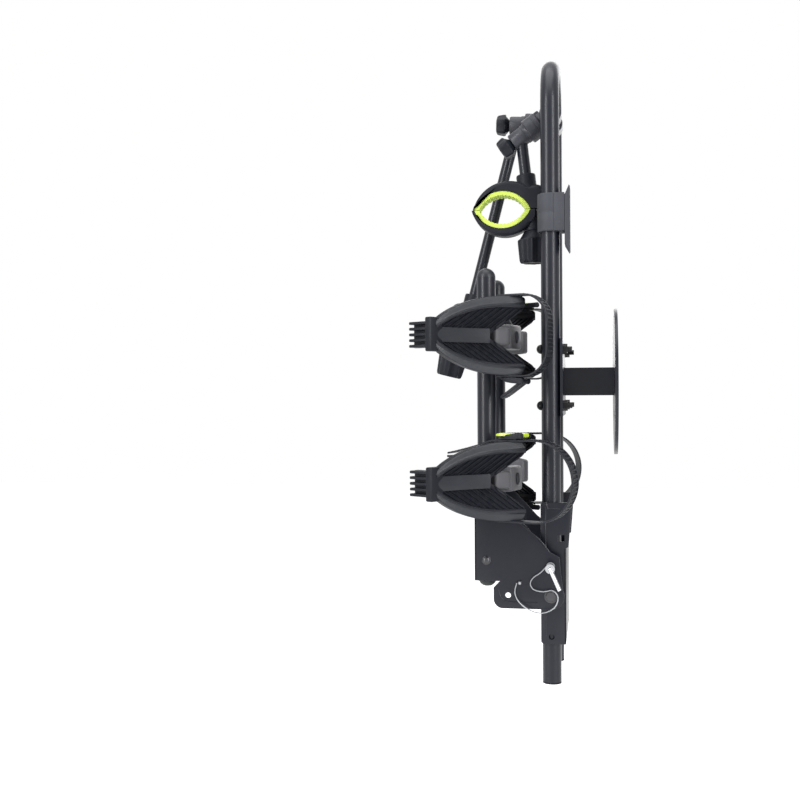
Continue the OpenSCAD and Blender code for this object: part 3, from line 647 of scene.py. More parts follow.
@dataclass
class Mast:
    """The fixed part: the bent tube, the wheel mount and the lower bracket."""

    at: Layout = field(default_factory=Layout)

    def bracket(self) -> None:
        """Builds the folded sheet bracket that the platform turns on."""
        at = self.at
        x, low, step, top = at.mast_x, at.pivot_z - 75, at.pivot_z + 72, at.pivot_z + 139
        bm = bmesh.new()
        outline = [(x - 15.8, low + 3), (x - 12.8, low), (x + 22, low), (x + 22, step - 2), (x + 26, step),
                   (x + 31, top - 2), (x + 28, top), (x - 12.8, top), (x - 15.8, top - 3)]
        half = at.mast_sheet_y + at.sheet_t
        for sign in (-1, 1):
            prism(bm, outline, (sign * at.mast_sheet_y, sign * half), 0.7)
        holes = drills(at.pin_holes((0, at.pin_down)), half + 5)
        box(holes, (x + 10, -half - 5, step + 8), (x + 20, half + 5, step + 18))
        bm = carve(bm, holes)
        box(bm, (x + 19, -half, low + 2), (x + 22, half, step - 2), 1.0)
        for y in (-half, half):
            rib = [(x - 8, y, low + 12), (x - 8, y, top - 14), (x - 4, y, top - 10), (x + 14, y, top - 10)]
            sweep(bm, smooth_path(rib, 6), 0.9, 8)
        hand_over(bm, "lower_bracket", "mast", Slot.TUBE, POWDER, "mast_bracket")

    def pivot(self) -> None:
        """Builds the pivot's washers and nuts over its plain bolt."""
        at = self.at
        bm = bmesh.new()
        face = at.deck_outer + 0.4
        for sign in (-1, 1):
            place = to_axis((0, sign, 0), (at.mast_x, sign * face, at.pivot_z))
            lathe(bm, [(0, 0), (10.2, 0), (10.2, 0.7), (9.8, 1.1), (8.3, 1.1), (8.3, 1.2), (0, 1.2)],
                  48, place)
            fluted(bm, [(8.2, 1.2, 0.9), (8.2, 3.2, 0.9), (7.4, 4.0, 0.6), (5.4, 4.0, 0)], 6, 48, 1.0, place)
        rod(bm, 6, -face, face, 40, to_axis((0, 1, 0), (at.mast_x, 0, at.pivot_z)))
        hand_over(bm, "pivot_hardware", "mast", Slot.PLATED, DARK_ZINC, "pivot_bolt")

    def saddle(self) -> None:
        """Builds the stowage saddle and the wedge plate behind it."""
        x, y, half = self.at.mast_x, -self.at.leg_y, 19.3
        bm = bmesh.new()
        lathe(bm, [(14.4, 228), (18.2, 227), (half, 228.5), (half, 254), (18.8, 255), (18.8, 257),
                   (half, 258), (half, 283.5), (18.2, 285), (14.4, 284)], 64, Matrix.Translation((x, y, 0)))
        box(bm, (x + 6, y - half, 227), (x + 22.3, y + half, 285), 1.6)
        for z in (239, 273):
            lathe(bm, [(0, -0.2), (3.6, -0.2), (3.6, 0.1), (2.6, 0.6), (0, 0.7)], 24,
                  to_axis((0, -1, 0), (x + 15, y - 18.7, z)))
        hand_over(bm, "stowage_saddle", "mast", Slot.PLASTIC, SADDLE, "mast_saddle")
        bm = bmesh.new()
        wedge = [(22.3, 207), (28.8, 196), (30.3, 198), (30.3, 294), (28.8, 296), (22.3, 281)]
        prism(bm, [(x + a, z) for a, z in wedge], (y - half, y + half), 1.2, 3)
        hand_over(bm, "saddle_wedge", "mast", Slot.PLASTIC, SADDLE, "saddle_plate")

    def build(self) -> None:
        """Builds or dresses every node of the mast."""
        for node in ("mast_hoop", "arm_rail", "wheel_plate", "extension_tube", "cross_plate"):
            dress(node, Slot.TUBE, POWDER)
        for node in ("mast_end_caps", "pivot_spacers"):
            dress(node, Slot.PLASTIC, PLASTIC)
        for node in ("mast_bolts", "mast_nuts"):
            dress(node, Slot.BLACK_STEEL, OXIDE)
        self.bracket()
        self.pivot()
        self.saddle()


@dataclass
class Platform:
    """The folding part: two tubes in a bracket, with the lock pin and its wire."""

    at: Layout = field(default_factory=Layout)

    @property
    def back(self) -> float:
        """X of the bracket's outer back face from the pivot, 0.4 mm behind the tubes."""
        return self.at.deck_x - self.at.mast_x - self.at.tube_r - 0.4 - self.at.sheet_t

    def side_outline(self) -> list[Point2]:
        """Returns the moving side plate's outline from the pivot.

        Returns:
            Corners as X and Z.
        """
        back = self.back
        return (
            arc_points(back + 4, 25, 4, -90, -180, 4)
            + [(back, 145), (back + 4, 149), (back + 34, 149), (back + 37, 148)]
            + [(-1.5, 66.5), (10, 60.5), (13, 58), (15, 34)]
            + arc_points(0, 0, 20, 25, -90, 12)
            + arc_points(-72, -6, 14, -90, -180, 8)
            + [(-86, 11), (-78, 19.5), (-76, 21)]
        )

    def bracket(self) -> None:
        """Builds the folded bracket's side plates and its rear web."""
        at = self.at
        x, z, outer = at.mast_x, at.pivot_z, at.deck_outer
        outline = [(x + a, z + b) for a, b in self.side_outline()]
        bm = bmesh.new()
        for sign in (-1, 1):
            prism(bm, outline, (sign * at.deck_sheet_y, sign * outer), 0.8, 3)
        spots = at.pin_holes((at.pin_down, 0)) + [(at.deck_x, z + 52, 4.1)]
        bm = carve(bm, drills(spots, outer + 5))
        back = x + self.back
        for left, right, low, high in ((-outer, outer, 21, 51), (-outer, outer, 119, 149),
                                       (-outer, -60, 45, 125), (60, outer, 45, 125)):
            box(bm, (back, left, z + low), (back + at.sheet_t, right, z + high), 0.9)
        ribs = (([(-104, 136), (-84, 139), (-62, 122), (-40, 104), (-16, 84), (-2, 66)], 1.1),
                ([(-78, 8), (-70, -8), (-40, -10), (-20, -10)], 0.9))
        for y in (-outer, outer):
            for rib, radius in ribs:
                sweep(bm, smooth_path([(x + a, y, z + b) for a, b in rib], 8), radius, 10)
        hand_over(bm, "folding_bracket", "platform", Slot.TUBE, POWDER, "fold_bracket")

    def hardware(self) -> None:
        """Builds the domed bolts and the rivets over their plain solids."""
        at = self.at
        bm = bmesh.new()
        for sign in (-1, 1):
            lathe(bm, [(0, -38), (4, -38), (4, 0), (6.8, 0), (6.8, 0.8), (6.2, 1.2), (6.0, 2.6), (4.4, 4.2),
                       (2.2, 4.9), (0, 5)], 40,
                  to_axis((0, sign, 0), (at.deck_x, sign * at.deck_outer, at.pivot_z + 52)))
            lathe(bm, [(0, -0.5), (3, -0.5), (3, 0.4), (2.4, 1.4), (1.2, 1.9), (0, 2)], 28,
                  to_axis((0, sign, 0), (at.mast_x - 46, sign * at.deck_outer, at.pivot_z + 20)))
        hand_over(bm, "bracket_bolts", "platform", Slot.PLATED, DARK_ZINC, "bracket_fasteners")

    def build(self) -> None:
        """Builds or dresses every node of the platform."""
        dress("platform_tubes", Slot.TUBE, POWDER)
        dress("tube_domes", Slot.PLASTIC, RIM_PLASTIC)
        dress("tube_plugs", Slot.PLASTIC, PLUG)
        dress("pin_lanyard", Slot.PLATED, ZINC)
        dress("lock_pin", Slot.CHROME, CHROME)
        self.bracket()
        self.hardware()


@dataclass
class WheelHolder:
    """A boat-shaped wheel tray with its clamp block, ladder strap and buckle.

    Sizes are in the holder's own directions: up from the tube's axis, out to
    the side of the rack, and across the tyre.
    """

    side: Side
    pos: str
    z: float
    loop_top: float
    turn: int
    open_deg: float
    tail: bool
    lever_lime: bool
    at: Layout = field(default_factory=Layout)
    tyre_r: float = 340.0
    half: float = 58.0
    depth: float = 23.0
    shell: float = 4.0
    notch_h: float = 11.0
    slope: float = 34.6
    nose: float = 92.0
    collar_h: float = -66.0
    top_h: float = 52.0
    strap_lean: float = 20.0
    rib_pitch: float = 9.4
    foot_angle: float = 56.0
    rim_w: float = 13.0
    notch_out: float = 54.0
    strap_at: Point2 = (45.0, 52.0)
    strap_gap: float = 0.4
    strap_t: float = 3.0
    strap_w: float = 24.0
    pin_out: float = 8.8
    pin_up: float = 16.0

    @property
    def name(self) -> str:
        """Name stem of the holder's nodes."""
        return f"{self.side.name.lower()}_{self.pos}"

    @property
    def body(self) -> str:
        """CAD body of the holder."""
        return self.name + "_holder"

    @property
    def world(self) -> Matrix:
        """Matrix from (up, in, across) to the rack's frame.

        Returns:
            The matrix; a far holder is turned half a turn about X.
        """
        place = Matrix.Translation((self.at.deck_x, 0, self.at.pivot_z + self.z))
        if self.side is Side.FAR:
            place = place @ spun(180, "X")
        return place

    @property
    def hub(self) -> Point2:
        """Middle of the tyre that the trough holds: up and out.

        Returns:
            Height and distance out.
        """
        slope = math.radians(self.slope)
        return (self.notch_h + self.tyre_r * math.sin(slope),
                self.at.deck_y + self.notch_out + self.tyre_r * math.cos(slope))

    def trough(self, h: float) -> float:
        """Distance out to the bottom of the trough at a height."""
        up, out = self.hub
        return out - math.sqrt(self.tyre_r ** 2 - (up - h) ** 2)

    def lifted(self, h: float, rise: float, w: float) -> tuple[float, float, float]:
        """Returns the point that stands over the trough's bottom line, square to it.

        Args:
            h: Height along the trough.
            rise: Distance off its bottom.
            w: Distance across.

        Returns:
            Height, distance in from the outside and distance across.
        """
        up, out = self.hub
        n = Vector((up - h, out - self.trough(h))).normalized()
        return h + n.x * rise, -(self.trough(h) + n.y * rise), w

    def rim_line(self, h: float) -> tuple[float, float, float]:
        """Returns the tray's half width, the width of its rim and the rim's rise at a height."""
        hw = self.width(h)
        return hw, self.rim_w * (hw / self.half) ** 0.5, self.depth * hw / self.half

    @staticmethod
    def sheet(
        bm: Mesh, rows: int, cols: int, put: Callable[[float, float], Sequence[float]]
    ) -> list[bmesh.types.BMFace]:
        """Adds a sheet of rows and columns.

        Args:
            bm: Mesh that gets the sheet.
            rows: Points along it.
            cols: Points across it.
            put: Gives each point from its two shares of the way, 0 to 1.

        Returns:
            The sheet's faces.
        """
        grid = bmesh.ops.create_grid(bm, x_segments=rows, y_segments=cols, size=1.0)["verts"]
        for v in grid:
            v.co = put((v.co.x + 1) / 2, (v.co.y + 1) / 2)
        return list({f for v in grid for f in v.link_faces})

    def width(self, h: float) -> float:
        """Half width of the tray at a height."""
        return self.half * math.sqrt(max(0.0, 1 - (max(0.0, 22 - h) / self.nose) ** 2))

    def notch(self, h: float) -> float:
        """Half width of the notch between the wings at a height.

        Args:
            h: Height along the trough.

        Returns:
            The half width, 0 below the notch.
        """
        if h < self.notch_h:
            return 8 * math.sqrt(max(0.0, (h - self.notch_h + 3) / 3))
        return 8 + (h - self.notch_h) * 41 / 49

    def surface(self, h: float, a: float) -> tuple[float, float, float]:
        """Returns a point of the tray's face.

        Args:
            h: Height along the trough.
            a: From 0 at the middle or the notch to 1 at the back of the rim.

        Returns:
            Height, distance in from the outside and distance across.
        """
        hw, band, edge = self.rim_line(h)
        lo, rim = self.notch(h), hw - band
        face_share = 0.93
        if a > face_share:
            w, rise = hw, edge - 9 * (a - face_share) / (1 - face_share)
        else:
            w = lo + (hw - lo) * a / face_share
            if w >= rim:
                rise = edge
            else:
                t = max(0.0, w - 9) / max(1.0, rim - 9)
                rise = (edge - 3.5) * t ** 1.25
                q = (h - w) / self.rib_pitch
                ridge = max(0.0, 1 - abs((q % 1.0) - 0.5) / 0.24)
                fade = min(1.0, max(0.0, (rim - w) / 2.5)) * min(1.0, max(0.0, (w - 11) / 2))
                rise += 2.9 * min(1.0, ridge * 1.8) * fade
        return self.lifted(h, rise, w)

    def wing_end(self, a: float) -> float:
        """Height of the wing's blunt end, lower towards its rim and its notch."""
        return self.top_h - 9 * max(0.0, (a - 0.6) / 0.4) ** 2.6 - 3 * max(0.0, (0.25 - a) / 0.25) ** 2

    def half_shell(self, bm: Mesh, sign: int) -> None:
        """Adds one half of the tray's shell to a mesh.

        Args:
            bm: Mesh that gets the shell.
            sign: Side across, 1 or -1.
        """

        def put(u: float, a: float) -> Sequence[float]:
            """Returns a point of the shell's face.

            Args:
                u: Share of the way up.
                a: Share of the way across.

            Returns:
                The point, in the holder's own directions.
            """
            h = self.collar_h + (self.wing_end(a) - self.collar_h) * u
            x, y, w = self.surface(h, a)
            return x, y, sign * w

        faces = self.sheet(bm, 170, 86, put)
        bmesh.ops.solidify(bm, geom=faces, thickness=self.shell * sign)

    def spine(self, bm: Mesh) -> None:
        """Adds the raised bar along the bottom of the trough.

        Args:
            bm: Mesh that gets the bar.
        """

        def put(u: float, a: float) -> Sequence[float]:
            """Returns a point of the bar's crowned face.

            Args:
                u: Share of the way up.
                a: Share of the way across.

            Returns:
                The point, in the holder's own directions.
            """
            h = self.collar_h + 2 + (self.notch_h - 6 - self.collar_h) * u
            w = 2 * a - 1
            return self.lifted(h, 6.5 + 1.2 * (1 - w ** 2), 10.5 * w)

        out = bmesh.ops.extrude_face_region(bm, geom=self.sheet(bm, 40, 14, put))["geom"]
        top = [g for g in out if isinstance(g, bmesh.types.BMVert)]
        foot, head = Vector(self.lifted(-20, 8, 0)), Vector(self.lifted(-20, 0, 0))
        bmesh.ops.translate(bm, vec=head - foot, verts=top)

    def foot(self, bm: Mesh) -> None:
        """Adds the collar and the finned foot below it.

        Args:
            bm: Mesh that gets the foot.
        """
        made = box(bm, (-8, -16, -24.5), (4, 10, 24.5), 2.0)
        for i in range(5):
            mid = 8.2 * (i - 2)
            made += box(bm, (2, -13, mid - 2.1), (36, 9, mid + 2.1), 1.2)
        made += box(bm, (0, -6.5, -19), (33, 1.5, 19), 0.8)
        place = Matrix.Translation((self.collar_h, -self.trough(self.collar_h), 0))
        turn(bm, made, place @ spun(90 + self.foot_angle, "Z"))

    def tray(self) -> None:
        """Builds the tray over its CAD solid."""
        bm = bmesh.new()
        for sign in (1, -1):
            self.half_shell(bm, sign)
        self.foot(bm)
        lip, back = self.trough(self.notch_h), self.trough(-22)
        web = ((8, -120, -15), (8, -lip + 1, -15), (-22, -back + 2, -15), (-22, -120, -15))
        drawn(bm, web, (0, 0, 30))
        self.emit(bm, "_tray", Slot.PLASTIC, PLASTIC, "_scoop")

    def emit(self, bm: Mesh, piece: str, slot: Slot, finish: Finish, node: str = "") -> None:
        """Hands over a piece drawn in the holder's own directions."""
        hand_over(bm, self.name + piece, self.body, slot, finish, node and self.name + node, self.world)

    def trim(self) -> None:
        """Builds the paler satin rim and spine that lie on the tray."""
        bm = bmesh.new()
        self.spine(bm)
        for sign in (1, -1):

            def put(u: float, a: float) -> Sequence[float]:
                """Returns a point of the rim's face.

                Args:
                    u: Share of the way up.
                    a: Share of the way across.

                Returns:
                    The point, in the holder's own directions.
                """
                end = self.wing_end(0.72 + 0.26 * a) - 0.2
                h = self.collar_h + 1 + (end - self.collar_h - 1) * u
                hw, band, edge = self.rim_line(h)
                w = max(hw - band + (band - 0.6) * a, self.notch(h) + 0.5)
                lip = 0.9 * max(0.0, 1 - abs(a - 0.1) / 0.12) + 0.35
                rise = edge + lip * math.sqrt(max(0.0, 1 - a ** 8)) + 0.05
                return self.lifted(h, rise, sign * w)

            bmesh.ops.solidify(bm, geom=self.sheet(bm, 90, 10, put), thickness=1.6 * sign)
        self.emit(bm, "_rim", Slot.PLASTIC, RIM_PLASTIC)

    def block(self) -> None:
        """Builds the grey clamp block that stands up through the notch."""
        bm = bmesh.new()
        outline = [(-21, -64), (46, -68), (53, -78), (40, -120), (30, -121), (-21, -120)]
        made = drawn(bm, [(h, y, -18.5) for h, y in outline], (0, 0, 37))
        rounded(bm, made, bm.edges, 4, 4)
        bore = bmesh.new()
        rod(bore, self.at.tube_r + 0.15, -30, 30, 64, Matrix.Translation((0, -self.at.deck_y, 0)))
        bm = carve(bm, bore)
        nose = [(15, -112), (41, -112), (36, -126), (19, -140), (15, -138)]
        made = drawn(bm, [(h, y, -13) for h, y in nose], (0, 0, 26))
        rounded(bm, made, edges_of(made), 3, 3)
        for z in (-10, 10):
            lathe(bm, [(0, -1), (4.6, -1), (4.6, 1.6), (4.0, 2.2), (2.4, 2.2), (2.2, 0.8), (0, 0.8)], 28,
                  to_axis((-1, 0, 0), (-20.6, -self.at.deck_y, z)))
        self.emit(bm, "_clamp", Slot.GREY, GREY, "_block")
        bm = bmesh.new()
        n = Vector((0.93, -0.37, 0)).normalized()
        basis = Matrix(((0, 0, 1), (-n.y, n.x, 0), n)).transposed().to_4x4()
        place = Matrix.Translation((47.2, -99, 0)) @ basis @ Matrix.Diagonal((0.95, 0.53, 1, 1))
        lathe(bm, [(0, 0.6), (7, 0.6), (8.2, 1.4), (9.4, 1.2), (9.8, -1), (0, -1)], 40, place)
        self.emit(bm, "_oval", Slot.GREY, HEAD_GREY)

    @property
    def strap_space(self) -> Matrix:
        """Matrix from the strap's own directions to the rack's frame.

        Returns:
            The matrix; a strap whose turn is -1 is mirrored across.
        """
        mirror = Matrix.Diagonal((1, 1, self.turn, 1))
        place = Matrix.Translation((self.strap_at[0], -self.at.deck_y - self.strap_at[1], 0))
        return self.world @ mirror @ place @ spun(-self.strap_lean, "Z")

    def strap_line(self) -> list[Vector]:
        """Returns points along the strap's inner face, about 1.2 mm apart.

        Returns:
            Points as up and across, from one end over the loop to the other.
        """
        half, thick, foot = self.half + self.strap_gap, self.strap_t, -22.0
        lean = math.radians(self.strap_lean)
        top = (self.loop_top - self.strap_at[0] - self.strap_w / 2 * math.sin(lean)) / math.cos(lean)
        bend = min(half + thick, top - 18) - thick
        top -= thick
        rough: list[Point2] = []
        if self.tail:
            rough += [(-104, 38), (-90, 41), (-70, 46), (-50, 51.5), (foot - 12, half - 1)]
        rough += [(foot, half), (top - bend, half)]
        rough += arc_points(top - bend, half - bend, bend, 90, 0, 24)[1:]
        rough += arc_points(top - bend, bend - half, bend, 0, -90, 24)
        rough += [(foot, -half)]
        out: list[Vector] = []
        for a, b in zip(rough, rough[1:]):
            count = max(1, round(math.dist(a, b) / 1.15))
            out += [Vector(a).lerp(Vector(b), k / count) for k in range(count)]
        return out + [Vector(rough[-1])]

    def strap(self) -> None:
        """Builds the ladder strap, with a rung every 5.75 mm."""
        line = self.strap_line()
        rings: list[Ring] = []
        edge = [-12.0, -11.6, -9.2, -8.8, -4.5, 0.0, 4.5, 8.8, 9.2, 11.6, 12.0]
        for k, here in enumerate(line):
            ahead = (line[min(k + 1, len(line) - 1)] - line[max(k - 1, 0)]).normalized()
            out = Vector((-ahead.y, ahead.x))
            if (out.dot(here) if abs(here.y) > 20 else out.x) < 0:
                out = -out
            bar = 2.95 if k % 5 in (0, 1) else 1.3
            lifts = [(y, 2.1 if abs(y) > 11.8 else 2.6 if abs(y) > 9 else bar) for y in edge]
            lifts += [(12.0, 0.05), (0.0, 0.05), (-12.0, 0.05)]
            rings.append([(here.x + out.x * lift, y, here.y + out.y * lift) for y, lift in lifts])
        bm = bmesh.new()
        loft(bm, rings)
        hand_over(bm, self.name + "_band", self.body, Slot.STRAP, STRAP_FINISH, self.name + "_strap",
                  self.strap_space, 28)

    def buckle(self) -> None:
        """Builds the ratchet buckle's housing, cheeks, ribs and pin."""
        base, pin = self.half + self.strap_gap + self.strap_t, self.half + self.pin_out
        bm = bmesh.new()
        box(bm, (-16, -15, base), (10, 15, base + 2.4), 1.0)
        cheek = [(-10, base + 1), (-10, base + 4), (-6, base + 7), (2, base + 8.4), (12, base + 9.4)]
        cheek += arc_points(self.pin_up, pin, 5.0, 70, -60, 8) + [(14, base + 1)]
        for sign in (-1, 1):
            prism(bm, cheek, (sign * 12.1, sign * 14.9), 0.6)
        for k in range(4):
            box(bm, (-14.6 + 2.6 * k, -11.5, base + 2), (-13.2 + 2.6 * k, 11.5, base + 3.5), 0.4, 1)
        lathe(bm, [(0, -15.4), (2.8, -15.4), (2.8, -14.8), (2, -14.6), (2, 14.6), (2.8, 14.8),
                   (2.8, 15.4), (0, 15.4)], 24, to_axis((0, 1, 0), (self.pin_up, 0, pin)))
        hand_over(bm, self.name + "_housing", self.body, Slot.PLASTIC, PLASTIC, self.name + "_buckle",
                  self.strap_space)

    def lever(self) -> None:
        """Builds the buckle's lever with its gripped end."""
        slot, look = (Slot.LIME, LIME) if self.lever_lime else (Slot.PLASTIC, PLASTIC)
        body = self.name + "_lever"
        place = Matrix.Translation((self.pin_up, 0, self.half + self.pin_out))
        space = self.strap_space @ place @ spun(self.open_deg, "Y")
        bm = bmesh.new()
        rings: list[Ring] = []
        for x in [0.5 - 42.0 * k / 40 for k in range(41)]:
            near_tip = max(0.0, (-x - 34) / 8)
            wide = 11.4 - 0.8 * min(1, -x / 30 if x < 0 else 0) - 3.2 * near_tip ** 2.2
            low, high = -1.0, 3.3 + 0.25 * math.sin(-x / 42 * math.pi) - 1.4 * near_tip ** 2
            if -38 < x < -30 and int((-x - 30) / 1.3) % 2:
                high -= 0.5
            c = 0.8
            rings.append([(x, y, z) for y, z in (
                (-wide, low + c), (-wide, high - c), (-wide + c, high), (-6.5, high), (6.5, high),
                (wide - c, high), (wide, high - c), (wide, low + c), (wide - c, low), (-wide + c, low))])
        loft(bm, rings)
        eye(bm, 2.1, 3.5, 11.6, (0.3, 0.4), 28, to_axis((0, 1, 0)))
        hand_over(bm, self.name + "_lever_arm", body, slot, look, self.name + "_lever", space)
        if not self.lever_lime:
            return
        bm = bmesh.new()
        box(bm, (-27, -6, 3.2), (-9, 6, 3.75), 0.25, 1)
        for k in range(5):
            box(bm, (-25.6 + 3.6 * k, -5, 3.6), (-24.2 + 3.6 * k, 5, 4.1), 0.2, 1)
        box(bm, (-41.4, -6.2, 0.2), (-37.2, 6.2, 2.6), 0.5)
        hand_over(bm, self.name + "_lever_inlay", body, Slot.PLASTIC, PLASTIC, space=space)

    def build(self) -> None:
        """Builds the whole holder."""
        self.tray()
        self.trim()
        self.block()
        self.strap()
        self.buckle()
        self.lever()


@dataclass
class ClampArm:
    """One swinging arm with its frame clamp."""

    name: str
    tilt: float
    lean: float
    y: float
    length: float
    turn: float
    flip: int
    tip: float
    at: Layout = field(default_factory=Layout)
    eye_len: float = 88.0
    eye_h: float = 58.0
    jaw_w: float = 35.0
    pad_t: float = 7.2
    gap: float = 0.4
    tube_out: float = 56.0
    socket: Point2 = (37.0, 46.0)
    hinge: Point2 = (61.0, -10.0)
    screw_x: float = 47.0
    knob_z: float = 33.4

    @property
    def head_space(self) -> Matrix:
        """Matrix from the head's own directions to the rack's frame."""
        place = Matrix.Translation((self.at.mast_x, self.y, self.at.rail_z))
        return place @ spun(self.tilt, "Y")

    @property
    def arm_space(self) -> Matrix:
        """Matrix from the arm's own directions, its tube along -Z.

        Returns:
            The matrix; its origin is where the tube's axis meets the head's.
        """
        t = math.radians(self.tilt)
        x, z = self.at.mast_x - self.tube_out * math.cos(t), self.at.rail_z + self.tube_out * math.sin(t)
        return Matrix.Translation((x, self.y, z)) @ spun(self.lean, "Y")

    @property
    def clamp_space(self) -> Matrix:
        """Matrix from the clamp's directions, about the middle of its eye.

        Returns:
            The matrix; a clamp whose flip is -1 is turned to face the other way.
        """
        end = self.arm_space @ Matrix.Translation((0, 0, -self.length)) @ spun(self.turn - self.lean, "Y")
        if self.flip < 0:
            end = end @ spun(180, "Z")
        return end @ Matrix.Translation((-self.socket[0], 0, -self.socket[1]))

    @property
    def arc_r(self) -> float:
        """Radius of each half of the eye."""
        return ((self.eye_len / 2) ** 2 + (self.eye_h / 2) ** 2) / self.eye_h

    @property
    def arc_drop(self) -> float:
        """Distance of each arc's centre from the eye's middle."""
        return self.arc_r - self.eye_h / 2

    def half_angle(self, r: float) -> float:
        """Returns how far an arc of that radius reaches from its middle, in degrees."""
        return math.degrees(math.acos((self.gap + self.arc_drop) / r))

    def emit(self, bm: Mesh, piece: str, body: str, slot: Slot, finish: Finish, node: str,
             space: Matrix) -> None:
        """Hands over a piece whose name, body and node start with the arm's name."""
        hand_over(bm, self.name + piece, self.name + body, slot, finish, self.name + node, space)

    def head(self) -> None:
        """Builds the arm's head: its barrel, its neck and the ring on the rail."""
        bm = bmesh.new()
        tip = self.tip
        lathe(bm, [(0, 12), (15.4, 12), (15.4, 19.5), (17, 20.4), (18.6, 20.8), (19.5, 22), (19.5, 27.4),
                   (19.0, 28), (19.0, 29), (19.5, 29.6), (19.5, 42.4), (18.6, 43.6), (16, 44), (15.4, 45),
                   (15.4, 49.6), (14.5, 50), (14.5, tip - 2), (13.4, tip), (0, tip)], 64, to_axis((-1, 0, 0)))
        eye(bm, 11.1, 17, 17, (1.4, 1.2), 64, to_axis((0, 1, 0)))
        box(bm, (-24, -3, -19), (-12, 3, 19), 1.5)
        self.emit(bm, "_head", "_arm", Slot.GREY, HEAD_GREY, "_arm_head", self.head_space)

    def head_knob(self) -> None:
        """Builds the lobed knob that locks the arm."""
        bm = bmesh.new()
        fluted(bm, [(6, 0, 0), (8.6, 0, 0), (9, 0.6, 0), (14.5, 5.6, 0), (15.8, 6, 0.6), (17.4, 6.6, 2.6),
                    (18, 8, 3.1), (17.9, 10, 3.1), (16.6, 17.5, 2.9), (15.6, 19.8, 2.6), (13.6, 20.9, 2.0),
                    (9, 21, 0.8), (8.2, 20.2, 0), (4, 20.0, 0)], 5, 100, 0.75,
               to_axis((-1, 0, 0), (-self.tip - self.gap, 0, 0)))
        self.emit(bm, "_head_knob", "_arm_knob", Slot.PLASTIC, PLASTIC, "_arm_knob", self.head_space)

    def upper_outline(self) -> tuple[list[Point2], int]:
        """Returns the upper jaw's outline and how many of its corners are outside ones.

        Returns:
            Corners as X and Z, the outside ones first, and how many these are.
        """
        outer: list[Point2] = []
        ox, oz = 10.0, self.gap
        discs, flat_out, flat_top = ((10, -12, 57), (52, 22, 16)), 58, 21.6
        for k in range(61):
            a = math.radians(180 * k / 60)
            d = Vector((math.cos(a), math.sin(a)))
            best = 0.0
            for cx, cz, r in discs:
                rel = Vector((ox - cx, oz - cz))
                b = rel.dot(d)
                disc = b * b - rel.length_squared + r * r
                if disc > 0:
                    best = max(best, -b + math.sqrt(disc))
            if d.x > 0.2:
                reach = flat_out / d.x
                if reach * d.y <= flat_top:
                    best = max(best, reach)
            outer.append((ox + d.x * best, oz + d.y * best))
        half = self.half_angle(self.arc_r)
        inner = arc_points(0, -self.arc_drop, self.arc_r, 90 + half, 90 - half, 44)
        return outer + inner, len(outer)

    def lower_outline(self) -> tuple[list[Point2], int]:
        """Returns the lower jaw's outline and how many of its corners are outside ones.

        Returns:
            Corners as X and Z, the outside ones first, and how many these are.
        """
        x, z, r, nose = 4, 12, 53, 52
        start = math.degrees(math.acos((z + self.gap) / r))
        end = math.degrees(math.asin((nose - x) / r))
        outer = arc_points(x, z, r, -90 - start, -90 + end, 50) + [(nose, -self.gap)]
        half = self.half_angle(self.arc_r)
        inner = arc_points(0, self.arc_drop, self.arc_r, -90 + half, -90 - half, 44)
        return outer + inner, len(outer)

    def jaws(self) -> None:
        """Builds the crowned jaws with the collar, the hinge and the screw's neck."""
        half, (x, z) = self.jaw_w / 2, self.hinge
        outline, outside = self.upper_outline()
        bm = bmesh.new()
        crowned_slab(bm, outline, half, lambda k: 6.5 if 3 < k < outside - 3 else 1.2)
        ear = arc_points(x, z, 7, 0, -180, 14) + [(x - 7, 3), (x + 7, 3)]
        for sign in (-1, 1):
            prism(bm, ear, (sign * (half - 5.8), sign * (half - 0.2)), 0.7)
            lathe(bm, [(0, -0.6), (4.4, -0.6), (4.4, 0), (3.6, 0.15), (0, 0.15)], 24,
                  to_axis((0, sign, 0), (x, sign * half, z)))
        place = Matrix.Translation((self.socket[0], 0, self.socket[1]))
        lathe(bm, [(0, -16), (17, -16), (15.2, -9), (15, -6), (15, 7), (14.2, 9.2), (12.6, 10), (9.2, 10),
                   (9.2, -2), (0, -2)], 56, place @ spun(self.flip * (self.lean - self.turn), "Y"))
        self.emit(bm, "_upper_jaw", "_clamp", Slot.PLASTIC, PLASTIC, "_clamp_body", self.clamp_space)
        outline, outside = self.lower_outline()
        bm = bmesh.new()
        crowned_slab(bm, outline, half, lambda k: 6.5 if 3 < k < outside - 6 else 1.2)
        eye(bm, 3.1, 8, 11.1, (0.6, 0.5), 40, to_axis((0, 1, 0), (x, 0, z)))
        box(bm, (46, -11, -17.6), (58, 11, -2.4), 0.8)
        lathe(bm, [(4.2, 15), (14.6, 14), (13.6, 22), (13.6, 27), (14, 27.6), (14, 32), (13.2, 33), (4.2, 33),
                   (4.2, 15)], 56, to_axis((0, 0, -1), (self.screw_x, 0, 0)))
        self.emit(bm, "_lower_jaw", "_jaw", Slot.PLASTIC, PLASTIC, "_clamp_jaw", self.clamp_space)

